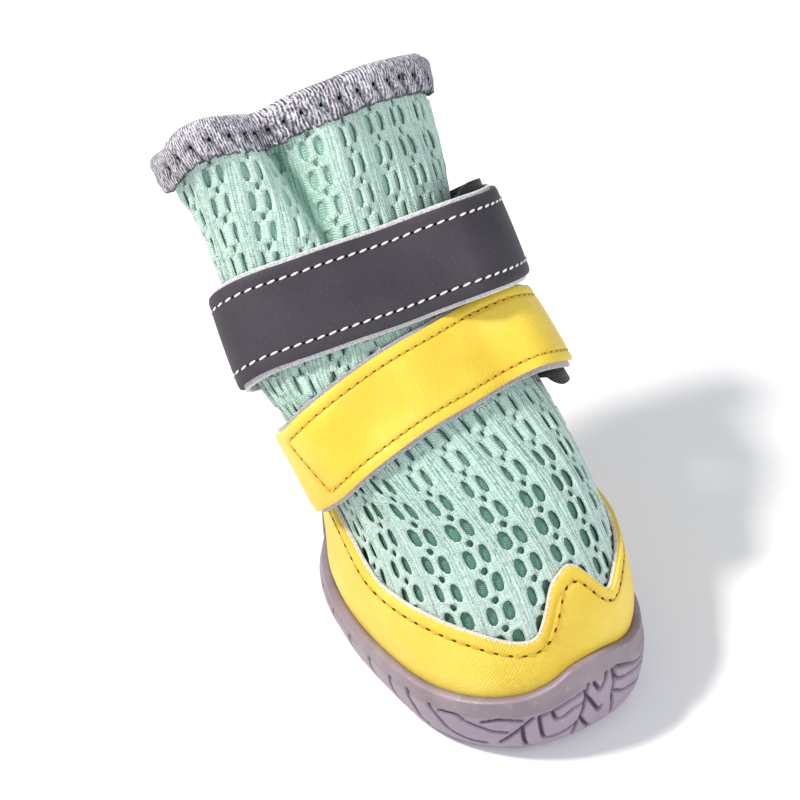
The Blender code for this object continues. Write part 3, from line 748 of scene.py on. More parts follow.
# %% The plain knit
def lay_sheet(name, columns, rows, place, uv_size, shares=()):
    """A grid of columns by rows whose points go where place(x share, y share) says. Where shares
    are named, place gives their values after the points."""
    piece = start_sheet(name, columns, rows)
    flat = points_of(piece)
    write_uv(piece, flat[:, :2] * uv_size)
    placed = place(flat[:, 0], flat[:, 1])
    if shares:
        placed, *values = placed
        for share, value in zip(shares, values):
            write_share(piece, share, value)
    set_points(piece, placed)
    return piece


lining = lay_sheet(
    "knit_lining", 144, 90,
    lambda x, y: on_cloth(x * 360 - 180, y * TOP_LEVEL, -LINING_DEPTH),
    (WALES * WALE_WIDTH * 1000, REACH * 1000),
)
weld(lining)
face_outwards(lining, from_axis)
finish_edges(lining, thickness=UPPER_WALL - LINING_DEPTH)
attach(lining, "root")
report(lining)

# %% [markdown]
# ## The band round the foot
# A strip of coated cloth that looks like leather runs round the foot, with an M over the toe and
# a wing up each side. It is cut with a cream backing that shows as a thin line above it.

# %% The band
RAND_THICKNESS = 0.0013
RAND_OUTSIDE = CURVE_FIT + RAND_THICKNESS
RAND_END = 125
RAND_COLUMNS = 260
COVER_LEVEL = 0.10
SEAM_INSET = 0.0023
SEAM_SINK = 0.00030
SEAM_TROUGH = 0.0006


def edge_distance(angle, level, top):
    """How far below an edge a level lies, in metres along the last."""
    step = np.linalg.norm(section_point(angle, top) - section_point(angle, top - 0.1), axis=-1) * 10
    return (top - level) * step


def rand_place(x, y):
    """The band's outer face, with a soft trough where its seam is."""
    angle = -RAND_END + x * 2 * RAND_END
    top = along(RAND_TOP, angle)
    level = COVER_LEVEL + (top - COVER_LEVEL) * y
    below = edge_distance(angle, level, top)
    sink = SEAM_SINK * np.exp(-((below - SEAM_INSET) / SEAM_TROUGH) ** 2)
    return on_upper(angle, level, RAND_OUTSIDE - sink)


rand = lay_sheet("rand_band", RAND_COLUMNS, 48, rand_place, (190, 26))
face_outwards(rand, from_axis)
finish_edges(rand, thickness=RAND_THICKNESS, bevel=0.0003)
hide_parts("rand")
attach(rand, "root")
report(rand)

# %% [markdown]
# ## The cream backing
# The band's cloth has a cream backing, and half a millimetre of it shows above the band. The
# rest is hidden, so a narrow strip along the band's top edge is enough.

# %% The cream backing
EDGE_SHOWN = 0.00055
EDGE_HIDDEN = 0.0008
EDGE_OUT = 0.00055
EDGE_THICKNESS = 0.0008


def contour(angles, out):
    """A line over the band's top edge, with its directions out of and up the boot."""
    line = on_upper(angles, along(RAND_TOP, angles), out)
    normal = last_normal(angles, along(RAND_TOP, angles))
    up = unit(np.cross(normal, unit(np.gradient(line, axis=0))))
    return line, normal, -up if up[len(up) // 2, 2] < 0 else up


edge_line, edge_normal, edge_up = contour(np.linspace(-RAND_END, RAND_END, RAND_COLUMNS + 1), CURVE_FIT)


def backing_place(x, y):
    """A narrow strip from under the band to just above it."""
    i = np.rint(x * RAND_COLUMNS).astype(int)
    rise = (-EDGE_HIDDEN + (EDGE_SHOWN + EDGE_HIDDEN) * y)[:, None]
    return edge_line[i] + edge_up[i] * rise + edge_normal[i] * EDGE_OUT


backing = lay_sheet("rand_backing_edge", RAND_COLUMNS, 3, backing_place, (190, 2))
face_outwards(backing, from_axis)
finish_edges(backing, thickness=EDGE_THICKNESS, bevel=0.00015)
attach(backing, "root")
report(backing)

# %% [markdown]
# ## The seam of the band
# One row of gold stitches follows the band's top edge, with a needle hole between each stitch
# and the next. Its line is the edge moved down and evened out, and rays snap it to the trough
# that was pressed into the band. One stitch is modelled and copied to every spot.

# %% The seam of the band
SEAM_END_GAP = 1.5
SEAM_POINTS = 700
SEAM_EVENING = 40
SEAM_SNAP = 0.004
SEAM_PITCH = 0.00290
SEAM_RISE = 0.00004
SEAM_STITCH = (0.00205, 0.00062, 0.00050)
NEEDLE_HOLE = (0.00118, 0.00058, 0.00042)

seam_angles = np.linspace(-RAND_END + SEAM_END_GAP, RAND_END - SEAM_END_GAP, SEAM_POINTS)
seam_line, seam_normal, seam_up = contour(seam_angles, RAND_OUTSIDE)
for _ in range(SEAM_EVENING):
    seam_up[1:-1] = unit(seam_up[1:-1] * 2 + seam_up[:-2] + seam_up[2:])
seam_line = snapped(seam_line - seam_up * SEAM_INSET, seam_normal, tree_of(rand), SEAM_SNAP)
seam_spots = walk_line(seam_line, seam_normal, SEAM_PITCH)
rand_thread = sew("rand_stitches", moved(seam_spots, SEAM_RISE), *SEAM_STITCH)
rand_needles = sew("rand_needle_holes", half_way(seam_spots), *NEEDLE_HOLE)

# %% [markdown]
# ## The woven heel panel
# Between the wings of the band the heel is closed by grey basket weave. It is one plain sheet
# laid on the last, because threads this fine are left to its finish.

# %% The woven heel panel
QUARTER_THICKNESS = 0.0011
QUARTER_GAP = 1.1


def quarter_place(x, y):
    """The panel that closes the heel between the wings of the band."""
    start = RAND_END + QUARTER_GAP
    angle = start + x * (360 - 2 * start)
    level = COVER_LEVEL + (along(QUARTER_TOP, 180 - abs(180 - angle)) - COVER_LEVEL) * y
    return on_upper(angle, level, CURVE_FIT + QUARTER_THICKNESS)


quarter = lay_sheet("heel_panel", 60, 40, quarter_place, (62, 46))
face_outwards(quarter, from_axis)
finish_edges(quarter, thickness=QUARTER_THICKNESS, bevel=0.00025)
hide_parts("heel_quarter")
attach(quarter, "root")
report(quarter)

# %% [markdown]
# ## The knitted binding
# The collar is bound with a heathered tape, folded over the edge and sewn through in a zigzag.
# Each needle hole pulls a dimple and a slanting tuck into the soft tape, and between the holes
# it puffs out. A sheet laid across the rim takes all of this as one height above the sock.

# %% The binding
BINDING_DEPTH = 0.0054
BINDING_THICKNESS = 0.0012
RIM_STEPS = 720
CREST = 0.85
HOLE_PITCH = 0.0041
HOLE_HEIGHT = 0.0020
DIMPLE_WIDTH, DIMPLE_HEIGHT, DIMPLE_DEPTH = 0.0009, 0.0010, 0.0010
PUFF = 0.00060
TUCK_WIDTH, TUCK_START, TUCK_DEPTH = 0.00048, 0.0008, 0.00110
TUCK_SLANT = 0.45
HEM_DROP = 0.00055
RIM_FOLD = -23
RIM_FOLD_WIDTH, RIM_FOLD_DEPTH = 3.0, 0.0016

rim_angles = np.linspace(-180, 180, RIM_STEPS + 1)
rim_line = on_upper(rim_angles, TOP_LEVEL)
rim_below = on_upper(rim_angles, TOP_LEVEL - 0.3)
rim_up = unit(rim_line - rim_below)
rim_normal = last_normal(rim_angles, TOP_LEVEL)
rim_walk = np.concatenate(([0], np.cumsum(np.linalg.norm(np.diff(rim_line, axis=0), axis=1))))
HOLES = round(rim_walk[-1] / HOLE_PITCH)


def binding_place(x, y):
    """The tape's face, from its outer hem up over the rim and down inside, and its tucks."""
    i = np.rint(x * RIM_STEPS).astype(int)
    around, bend = y * 2 - 1, UPPER_WALL / 2 + CURVE_FIT + BINDING_THICKNESS
    outside = around < 0
    flat_part = BINDING_DEPTH / (BINDING_DEPTH + bend * math.pi / 2)
    past = np.clip((abs(around) - (1 - flat_part)) / flat_part, 0, 1)
    turn = np.clip(abs(around) / (1 - flat_part), 0, 1) * math.pi / 2
    height = np.where(past > 0, -past * BINDING_DEPTH, bend * CREST * np.cos(turn))
    side = np.where(past > 0, bend, bend * np.sin(turn)) * -np.sign(around + 1e-9)
    phase = rim_walk[i] / rim_walk[-1] * HOLES
    beside, below = (phase - np.rint(phase)) * HOLE_PITCH, -height - HOLE_HEIGHT
    between = abs(np.sin(phase * math.pi))
    dimple = np.exp(-(beside / DIMPLE_WIDTH) ** 2 - (below / DIMPLE_HEIGHT) ** 2)
    puff = PUFF * np.sin(np.clip(past, 0, 1) ** 1.3 * math.pi) * between ** 0.7
    tuck = np.exp(-((beside - below * TUCK_SLANT) / TUCK_WIDTH) ** 2) * ease(below / TUCK_START)
    side = side + np.where(outside, puff - DIMPLE_DEPTH * dimple - TUCK_DEPTH * tuck, 0.0)
    fold = np.exp(-((rim_angles[i] - RIM_FOLD) / RIM_FOLD_WIDTH) ** 2) * np.clip(past, 0.2, 1)
    side = side - np.where(outside, RIM_FOLD_DEPTH * fold, 0.0) - UPPER_WALL / 2
    height = height - np.where(outside, HEM_DROP * between * ease((past - 0.6) / 0.4), 0.0)
    face = rim_line[i] + rim_normal[i] * side[:, None] + rim_up[i] * height[:, None]
    return face, np.where(outside, np.maximum(tuck, dimple * 0.8), 0.0)


binding = lay_sheet("collar_tape", RIM_STEPS, 30, binding_place, (150, 16), shares=("tuck",))
weld(binding)
face_outwards(binding, from_axis)
finish_edges(binding, thickness=BINDING_THICKNESS * 0.9)
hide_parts("collar_binding")
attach(binding, "root")
report(binding)

# %% Needle holes of the binding
HOLE_SHAPE = (0.00085, 0.00095, 0.00040)
HOLE_SUNK = 0.00078

hole_marks = np.arange(HOLES) * rim_walk[-1] / HOLES
hole_index = np.clip(np.searchsorted(rim_walk, hole_marks), 1, RIM_STEPS - 1)
hole_spots = [
    (
        rim_line[i] + rim_normal[i] * (CURVE_FIT + BINDING_THICKNESS - HOLE_SUNK)
        - rim_up[i] * HOLE_HEIGHT,
        unit(rim_line[i + 1] - rim_line[i - 1]),
        rim_normal[i],
    )
    for i in hole_index
]
binding_needles = sew("collar_needle_holes", hole_spots, *HOLE_SHAPE)

# %% [markdown]
# ## The sole
# A cup of rubber: a tread face, a side that swells and rises over the toe, a lip and a hollow
# for the sock. Its grooves are moulded, so they are pressed into a fine grid with soft shoulders.

# %% Sizes of the sole
SOLE_REACH = 0.0034
SOLE_EDGE = 0.0016
LIP_THICKNESS = 0.0014
SIDE_SWELL = 0.0016
TOE_SPRING = 0.0030
HEEL_LIFT = 0.0010
ARCH_LIFT = 0.0009
ARCH_LENGTH = 0.015
TOE_SPRING_START = 0.56
HEEL_LIFT_START = 0.86
ARCH_MIDDLE = 0.165
OUTLINE_LEVEL = 0.45
SIDE_LEVEL = 0.90
LUG_PITCH = 0.0078
LUG_SWEEP = 0.0070
TREAD_HALF_WIDTH = 0.62

# How far the sole stands out beyond the upper. Columns: angle, share of SOLE_REACH
SOLE_OUTLINE = [
    (-180, 1.00), (-150, 0.88), (-125, 0.65), (-105, 0.53), (-85, 0.59), (-65, 0.82), (-45, 1.00),
    (-30, 1.24), (-15, 1.62), (0, 1.85), (15, 1.97), (30, 1.79), (45, 1.32), (60, 1.00),
    (90, 0.82), (125, 0.76), (150, 0.88), (180, 1.00),
]


def around_boot(table, angle):
    """Reads a table that goes once round the boot."""
    return along(table, (np.asarray(angle, float) + 180) % 360 - 180)


def sole_reach(angle):
    """How far the sole stands out beyond the upper."""
    return SOLE_REACH * around_boot(SOLE_OUTLINE, angle)


def sole_bottom(y):
    """Height of the tread face: flat under heel and forefoot, sprung at the toe, arched between."""
    front, back = SECTIONS[1][0] - sole_reach(0), SECTIONS[1][2] + sole_reach(180)
    toe_start, heel_start = TOE_SPRING_START * front, HEEL_LIFT_START * back
    toe = np.maximum(0.0, (toe_start - y) / (toe_start - front))
    heel = np.maximum(0.0, (y - heel_start) / (back - heel_start))
    arch = ease(1 - abs(y - ARCH_MIDDLE * FOOT_LENGTH) / (ARCH_LENGTH / 2))
    return TOE_SPRING * toe ** 2 + HEEL_LIFT * heel ** 2 + ARCH_LIFT * arch


def side_outward(angle):
    """The level direction out of the sole's side."""
    return unit(last_normal(angle, SIDE_LEVEL) * np.array((1, 1, 0)))


def sole_edge(angle, inward=0.0, height=0.0):
    """Points of the sole's outline near the floor, moved in and up."""
    outward = side_outward(angle)
    point = section_point(angle, OUTLINE_LEVEL) + outward * np.asarray(sole_reach(angle) - inward)[..., None]
    point[..., 2] = sole_bottom(point[..., 1]) + height
    return point


def lip_level(angle):
    """Level of the sole's top edge: high on the toe, low along the sides."""
    return around_boot(LIP_TOP, angle)


def sole_side(angle, share):
    """The sole's outer side, from its lower edge at 0 to the top of the lip at 1."""
    low = sole_edge(angle, 0.0, SOLE_EDGE)
    high = on_upper(angle, lip_level(angle), RAND_OUTSIDE + CURVE_FIT + LIP_THICKNESS)
    middle = (low + high) / 2 + side_outward(angle) * SIDE_SWELL
    share = np.asarray(share, float)[..., None]
    return low * (1 - share) ** 2 + middle * 2 * share * (1 - share) + high * share ** 2


# %% [markdown]
# The tread that shows at the toe is read off the photo: nested V's in the middle, L-shaped
# blocks beside them, and leaf-shaped lugs along the sides. Each line below is one thin groove.

# %% Grooves
GROOVE_WIDTH = 0.00072
GROOVE_DEPTH = 0.00100
GROOVE_SHOULDER = 0.00034
TREAD_GROOVE_WIDTH = 0.0016
TREAD_TOP = 0.74
LIP_ROUND = 0.0016
TREAD_RAISE = 0.00030

# Grooves of the toe. Columns: angle, share of the side's height
TOE_GROOVES = [
    [(-1, 0.69), (0.5, 0.61), (2, 0.55), (4, 0.62), (6, 0.73)],
    [(-4, 0.70), (-5, 0.65), (-5.5, 0.59), (-2.5, 0.44), (2, 0.23), (3, 0.29)],
    [(9, 0.73), (9.5, 0.55), (8.5, 0.40), (9, 0.26), (9, 0.08)],
    [(-5.5, 0.62), (-6, 0.46), (-7.5, 0.31), (-8.5, 0.24), (-10, 0.11), (-11, 0.0)],
    [(-7.5, 0.26), (-4.5, 0.10), (-2, 0.02)],
    [(-19.5, 0.65), (-16, 0.65), (-11, 0.64), (-6.5, 0.66)],
    [(-20, 0.63), (-18.5, 0.48), (-15.5, 0.45), (-12, 0.48), (-7.5, 0.49)],
    [(-25, 0.64), (-24.5, 0.49), (-23.5, 0.30), (-22.5, 0.18), (-20.5, 0.15), (-17, 0.15),
     (-12.5, 0.18), (-9, 0.23)],
    [(-25, 0.64), (-22.5, 0.65), (-20, 0.63)],
    [(-31, 0.50), (-30, 0.23), (-28.5, 0.04)],
    [(-27.5, 0.65), (-29.5, 0.58), (-32.5, 0.45), (-36, 0.29), (-38.5, 0.18)],
    [(10, 0.70), (10.5, 0.60), (13.5, 0.55), (18, 0.53), (25, 0.49), (33, 0.44), (40.5, 0.43)],
    [(11, 0.74), (18.5, 0.68), (25.5, 0.60), (30, 0.60), (35.5, 0.65)],
    [(10, 0.41), (14, 0.33), (19.5, 0.28), (28, 0.18), (38, 0.13), (47.5, 0.14)],
]
# Grooves of the left side, which the right side mirrors about the V's
SIDE_GROOVES = [
    [(-45.5, 0.65), (-39.5, 0.69), (-31.5, 0.65)],
    [(-52.5, 0.64), (-46, 0.54), (-41.5, 0.46), (-36.5, 0.43)],
    [(-66, 0.71), (-62.5, 0.55), (-58, 0.31), (-53, 0.20), (-48.5, 0.15), (-43.5, 0.14)],
    [(-61.5, 0.68), (-55.5, 0.70), (-52.5, 0.66)],
    [(-77, 0.75), (-75, 0.58), (-72.5, 0.40), (-70.5, 0.19), (-67, 0.14)],
    [(-87, 0.70), (-86, 0.45), (-84, 0.22), (-80, 0.08)],
]
MIRROR_ANGLE = 2
REAR_GROOVE = [(0, 0.68), (0.5, 0.42), (2.5, 0.20), (6, 0.08)]
REAR_LUG_ANGLES = range(-98, -170, -11)
HEEL_GROOVES = [
    [(170, 0.66), (180, 0.30), (190, 0.66)],
    [(176, 0.66), (180, 0.52), (184, 0.66)],
]


def side_routes():
    """Every groove of the sides as points on them."""
    left = SIDE_GROOVES + [
        [(start + angle, share) for angle, share in REAR_GROOVE] for start in REAR_LUG_ANGLES
    ]
    right = [[(2 * MIRROR_ANGLE - angle, share) for angle, share in route] for route in left]
    lines = []
    for route in TOE_GROOVES + left + right + HEEL_GROOVES:
        angle, share = smooth_rows(route, np.linspace(0, len(route) - 1, 4 * len(route))).T
        lines.append(sole_side(angle, share))
    return lines


def distance_to_lines(points, lines):
    """Distance from each point to the nearest of several lines."""
    nearest = np.full(len(points), 1.0)
    for line in lines:
        for start, end in zip(line, line[1:]):
            span = end - start
            part = np.clip(((points - start) @ span) / (span @ span), 0, 1)[:, None]
            nearest = np.minimum(nearest, np.linalg.norm(points - start - span * part, axis=1))
    return nearest


def groove_share(distance, width):
    """How deep a moulded groove is at a distance from its middle, from 0 to 1."""
    return ease((width / 2 + GROOVE_SHOULDER / 2 - distance) / GROOVE_SHOULDER)


def chevron_distance(points):
    """Distance from the middle of the tread's nearest chevron groove."""
    sweep = LUG_SWEEP / (TREAD_HALF_WIDTH * FOOT_WIDTH)
    y = (points[:, 1] - sweep * abs(points[:, 0])) / LUG_PITCH - 0.5
    return abs(y - np.rint(y)) * LUG_PITCH / math.hypot(1, sweep)


# %% [markdown]
# A moulded sole has no seam, so it is one skin: from the middle of the tread out to the edge, up
# the side, over the round lip and down into the cup. Its rows belong to three stretches, and
# each stretch has its own short function. How deep a point sits in a groove, and whether it is
# part of a lug, is kept for the rubber's finish.

# %% The sole's skin
SOLE_COLUMNS = 760
BOTTOM_ROWS, SIDE_ROWS, CUP_ROWS = 58, 60, 12
TREAD_SHOULDER = 0.0012
TREAD_DEPTH = 0.0013
TREAD_MARGIN = 0.04
LUG_FADE = 0.06
RAISE_START = 0.08
LIP_ROWS = 2
LIP_GAP = 0.00006


def tread_rows(angle, share):
    """The tread face, from its middle at 0 to its edge at 1, and how deep its points sit."""
    face = sole_edge(angle, SOLE_EDGE) * share[:, None]
    face[:, 2] = sole_bottom(face[:, 1])
    inside = TREAD_GROOVE_WIDTH + TREAD_SHOULDER - 2 * chevron_distance(face)
    depth = ease(inside / (2 * TREAD_SHOULDER)) * TREAD_DEPTH
    depth = depth * np.maximum(ease((1 - share) / TREAD_MARGIN), 0.6)
    face[:, 2] += depth
    return face, depth / TREAD_DEPTH


def side_rows(angle, share):
    """The side, from its lower edge at 0 to the lip at 1, with its grooves and its lugs."""
    face = sole_side(angle, share)
    groove = groove_share(distance_to_lines(face, ROUTES), GROOVE_WIDTH)
    lug = ease((TREAD_TOP - share) / LUG_FADE)
    out = TREAD_RAISE * lug * ease(share / RAISE_START) - GROOVE_DEPTH * groove
    return face + last_normal(angle, SIDE_LEVEL) * out[:, None], groove, lug


def cup_rows(angle, past):
    """Rows past the side: over the round lip, down beside the band and along the cup's floor."""
    share = np.clip((past - LIP_ROWS) / (CUP_ROWS - LIP_ROWS), 0, 1)
    close = RAND_OUTSIDE + LIP_GAP
    rounded = close + LIP_ROUND * (1 - np.clip(past / LIP_ROWS, 0, 1))
    out = np.where(past < LIP_ROWS, rounded, close + CURVE_FIT * ease(share * 3))
    level = lip_level(angle) * np.clip(1 - share * 2, 0, 1)
    wall = on_upper(angle, level, out)
    ground = on_upper(angle, 0.0, RAND_OUTSIDE + CURVE_FIT)
    inwards = np.clip(share * 2 - 1, 0, 1)[:, None]
    ground = ground * (1 - inwards) + np.array((0.0, 0.0, SOLE_FLOOR)) * inwards - (0, 0, FIT)
    return np.where(inwards > 0, ground, wall)


def sole_skin(x, y):
    """Points of the whole skin, with how deep each sits in a groove and how much it is a lug."""
    angle = x * 360 - 180
    row = y * (BOTTOM_ROWS + SIDE_ROWS + CUP_ROWS)
    bottom = row <= BOTTOM_ROWS
    cup = row > BOTTOM_ROWS + SIDE_ROWS
    side = ~bottom & ~cup
    points = np.zeros((len(row), 3))
    groove, lug = np.zeros(len(row)), np.zeros(len(row))
    points[bottom], groove[bottom] = tread_rows(angle[bottom], row[bottom] / BOTTOM_ROWS)
    lug[bottom] = 1
    share = (row[side] - BOTTOM_ROWS) / SIDE_ROWS
    points[side], groove[side], lug[side] = side_rows(angle[side], share)
    points[cup] = cup_rows(angle[cup], row[cup] - BOTTOM_ROWS - SIDE_ROWS)
    return points, groove, lug


ROUTES = side_routes()
SOLE_ROWS = BOTTOM_ROWS + SIDE_ROWS + CUP_ROWS
sole = lay_sheet("rubber_sole", SOLE_COLUMNS, SOLE_ROWS, sole_skin, (200, 60), shares=("groove", "lug"))
weld(sole)
finish_edges(sole)
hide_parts("outsole")
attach(sole, "root")
report(sole)

# %% [markdown]
# ## The straps
# Each strap is a strip cut to its length, with round corners, a felt lining and a hook tab that
# it closes on. It lies along a route over the sock and whatever is sewn on it. The same search
# that placed the solids finds its height: rays look down for the pieces under it. A strap bent
# by hand would have to be bent anew for every change of the sock.

# %% Strap sizes and routes
STRAP_THICKNESS = 0.0009
BACKING_THICKNESS = 0.0009
TAB_THICKNESS = 0.0010
BACKING_MARGIN = 0.0006
FELT_SPREAD = 0.0002
FACE_SWELL = 0.0002
FACE_GAP = 0.0001
CROWN = 0.0002
CHANNEL_WIDTH = 0.00042
ROUND_EDGE, ROUND_EDGE_WIDTH = 0.00024, 0.0005
FINE_STEP = 0.0007
STRAP_SNAP = 0.006
ANKLE_STRAP = {
    "width": 0.0190, "corner": 0.0012, "slack": 0.0065, "span": (82, 74), "slot": "reflective_tape",
    "seam": {
        "inset": 0.0028, "pitch": 0.00245, "sink": 0.00010, "cross": -0.1, "rise": 0.00010,
        "slant": 9, "stitch": (0.00185, 0.00050, 0.00044), "hole": (0.00075, 0.00050, 0.00026),
    },
}
INSTEP_STRAP = {
    "width": 0.0178, "corner": 0.0016, "slack": 0.0042, "span": (84, 52), "slot": "yellow_leather",
    "seam": {
        "inset": 0.0023, "pitch": 0.00205, "sink": 0.00034, "cross": 0.0105, "rise": 0.00004,
        "slant": 8, "stitch": (0.00165, 0.00056, 0.00048), "hole": (0.00086, 0.00046, 0.00030),
    },
}
TAB_WIDTH = 0.0175
TAB_CORNER = 0.0055
STRAP_STEP = 0.0037
PROBE_HEIGHT = 0.020
PROBES = [(share, ahead) for share in (-1, -0.5, 0, 0.5, 1) for ahead in (-0.5, 0, 0.5)]

# Columns: angle, level
ANKLE_ROUTE = [
    (96, 6.20), (70, 6.52), (35, 6.84), (0, 6.95), (-30, 6.93), (-65, 6.72), (-100, 6.24),
    (-140, 5.62), (-180, 5.32), (-230, 5.62),
]
ANKLE_TAB_ROUTE = [(42, 7.02), (72, 6.74), (100, 6.34), (126, 5.86), (148, 5.62)]
INSTEP_ROUTE = [
    (-113, 3.78), (-90, 4.50), (-57, 5.26), (-20, 5.72), (10, 5.82), (40, 5.68), (70, 5.14),
    (92, 4.62),
]
INSTEP_TAB_ROUTE = [(52, 5.20), (74, 4.82), (96, 4.34), (116, 3.92)]


# %% Laying a strap
def lay_strap(route, width, strap, under):
    """The middle line of a strap's underside with its directions, every STRAP_STEP."""
    places = smooth_rows(route, np.linspace(0, len(route) - 1, 240))
    line = on_upper(places[:, 0], places[:, 1], STRAP_FIT)
    walked = np.concatenate(([0], np.cumsum(np.linalg.norm(np.diff(line, axis=0), axis=1))))
    marks = np.linspace(0, walked[-1], max(4, round(walked[-1] / STRAP_STEP)) + 1)

    def place_at(mark):
        mark = np.clip(mark, 0, walked[-1])
        return np.interp(mark, walked, places[:, 0]), np.interp(mark, walked, places[:, 1])

    angle, level = place_at(marks)
    middle, normal = on_upper(angle, level, STRAP_FIT), last_normal(angle, level)
    onward = unit(on_upper(*place_at(marks + STRAP_STEP)) - on_upper(*place_at(marks - STRAP_STEP)))
    across = unit(np.cross(normal, onward))
    slack = strap["slack"] * ease(1 - abs(angle - strap["span"][0]) / strap["span"][1])
    lift = slack.copy()
    for i in range(len(marks)):
        for share, ahead in PROBES:
            above = middle[i] + across[i] * share * (width / 2 + BACKING_MARGIN)
            above = above + normal[i] * PROBE_HEIGHT + onward[i] * ahead * STRAP_STEP
            for tree in under:
                hit = tree.ray_cast(Vector(above), Vector(-normal[i]), 2 * PROBE_HEIGHT)
                if hit[3] is not None:
                    lift[i] = max(lift[i], PROBE_HEIGHT - hit[3] + STRAP_FIT)
    highest = np.array([lift[max(i - 1, 0):i + 2].max() for i in range(len(lift))])
    evened = np.array([highest[max(i - 1, 0):i + 2].mean() for i in range(len(lift))])
    middle = middle + normal * np.maximum(evened, highest)[:, None]
    return marks, middle, normal, across


def soften(values, passes=6):
    """Evens out a line of points with its ends held."""
    values = values.copy()
    for _ in range(passes):
        values[1:-1] = values[1:-1] / 2 + (values[:-2] + values[2:]) / 4
    return values


def strap_lines(laid):
    """Fine, evened marks, middles, ways out and ways across of a laid strap."""
    marks, middle, normal, across = laid
    fine = np.linspace(0, marks[-1], round(marks[-1] / FINE_STEP) + 1)
    lines = [
        soften(np.stack([np.interp(fine, marks, part[:, k]) for k in range(3)], axis=1))
        for part in (middle, normal, across)
    ]
    return fine, *lines


def strap_sheet(name, laid, width, corners, thickness, low=0.0, margin=0.0, crown=0.0, channel=None):
    """A strip along a laid line, with round corners, a crowned face and a sunk seam channel."""
    fine, centre, out, side = strap_lines(laid)
    length, columns = fine[-1], len(fine) - 1
    half = np.full(len(fine), width / 2)
    for corner, away in ((corners[0], fine), (corners[1], length - fine)):
        near = away < corner
        half[near] = width / 2 - corner + np.sqrt(corner ** 2 - (corner - away[near]) ** 2)
    half = half + margin

    def place(x, y):
        i = np.rint(x * columns).astype(int)
        q = (y * 2 - 1)[:, None]
        height = low + thickness + crown * (1 - q[:, 0] ** 2)
        if channel:
            inset, sink, cross = channel
            edge = half[i] * (1 - abs(q[:, 0]))
            beside = np.where(fine[i] >= cross, abs(edge - inset), 1.0)
            ahead = np.where(edge >= inset, abs(fine[i] - cross), 1.0)
            height = height - sink * np.exp(-(np.minimum(beside, ahead) / CHANNEL_WIDTH) ** 2)
            height = height - ROUND_EDGE * np.exp(-(edge / ROUND_EDGE_WIDTH) ** 2)
        return centre[i] + side[i] * half[i][:, None] * q + out[i] * height[:, None]

    rows = 44 if channel else 14
    piece = lay_sheet(name, columns, rows, place, (length * 1000, width * 1000))
    face_outwards(piece, from_axis)
    finish_edges(piece, thickness=thickness, bevel=0.00025)
    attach(piece, "root")
    report(piece)
    return piece


def seam_of(face, laid, strap, seam):
    """Spots of a strap's seams, snapped to its face: two long rows and one across the start."""
    fine, centre, out, side = strap_lines(laid)
    inset, pitch = seam["inset"], seam["pitch"]
    reach = strap["width"] / 2 - inset
    inside = fine >= seam["cross"]
    paths = [(centre[inside] + side[inside] * reach * k, out[inside]) for k in (-1, 1)]
    if seam["cross"] > 0:
        i = np.argmax(inside)
        across = centre[i] + side[i] * np.linspace(-reach, reach, 24)[:, None]
        paths.append((across, np.repeat(out[i][None], 24, axis=0)))
    tree = tree_of(face)
    return [walk_line(snapped(line, away, tree, STRAP_SNAP), away, pitch) for line, away in paths]


def declare_strip(laid):
    """Reads the middle line of a strip and does nothing with it."""
    middle = strap_lines(laid)[1]


def build_closure(place, tab_route, route, strap, under):
    """The hook tab, the strap's felt backing and its face."""
    tab_line = lay_strap(tab_route, TAB_WIDTH, strap, under)
    tab = strap_sheet(place + "_hooks", tab_line, TAB_WIDTH, (TAB_CORNER, FIT), TAB_THICKNESS)
    line = lay_strap(route, strap["width"], strap, under + [tree_of(tab)])
    corners = (strap["corner"], strap["corner"])
    felt = strap_sheet(
        place + "_felt", line, strap["width"], corners, BACKING_THICKNESS,
        margin=BACKING_MARGIN + FELT_SPREAD,
    )
    seam = strap["seam"]
    face = strap_sheet(
        place + "_band", line, strap["width"], corners, STRAP_THICKNESS + FACE_SWELL,
        low=BACKING_THICKNESS + FACE_GAP, crown=CROWN,
        channel=(seam["inset"], seam["sink"], seam["cross"]),
    )
    rows = seam_of(face, line, strap, seam)
    stitches = [spot for row in rows for spot in slanted(moved(row, seam["rise"]), seam["slant"])]
    thread = sew(place + "_stitches", stitches, *seam["stitch"])
    holes = [spot for row in rows for spot in half_way(row)]
    needles = sew(place + "_needle_holes", holes, *seam["hole"])
    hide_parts(place + "_hook_tab")
    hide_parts(place + "_strap_backing")
    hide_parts(place + "_strap")
    declare_strip(tab_line)
    declare_strip(line)
    declare_strip(line)
    return tab, felt, face, thread, needles


# %% Both closures
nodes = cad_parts
covers = [tree_of(nodes[name]) for name in ("upper", "rand", "heel_quarter")]
ankle_hooks, ankle_felt, ankle_band, ankle_thread, ankle_needles = build_closure(
    "ankle", ANKLE_TAB_ROUTE, ANKLE_ROUTE, ANKLE_STRAP, covers,
)
instep_hooks, instep_felt, instep_band, instep_thread, instep_needles = build_closure(
    "instep", INSTEP_TAB_ROUTE, INSTEP_ROUTE, INSTEP_STRAP, covers,
)

# %% [markdown]
# ## Finishes
# Every finish is worked out from a place on the piece, never from a picture. Cloth and straps
# read the flat place stored with each point, in millimetres, so threads run along the cloth. The
# other pieces read their own coordinates. Where a finish follows a form, such as a groove or a
# fold, it reads the share that was stored with each point.

# %% Helpers for finishes
def start_finish(name, roughness, **constants):
    """A material, its node tree and its shader, with plain numbers set on the shader."""
    material = bpy.data.materials.new(name)
    material.use_nodes = True
    tree = material.node_tree
    shader = tree.nodes["Principled BSDF"]
    shader.inputs["Roughness"].default_value = roughness
    for key, value in constants.items():
        shader.inputs[key.replace("_", " ")].default_value = value
    return material, tree, shader


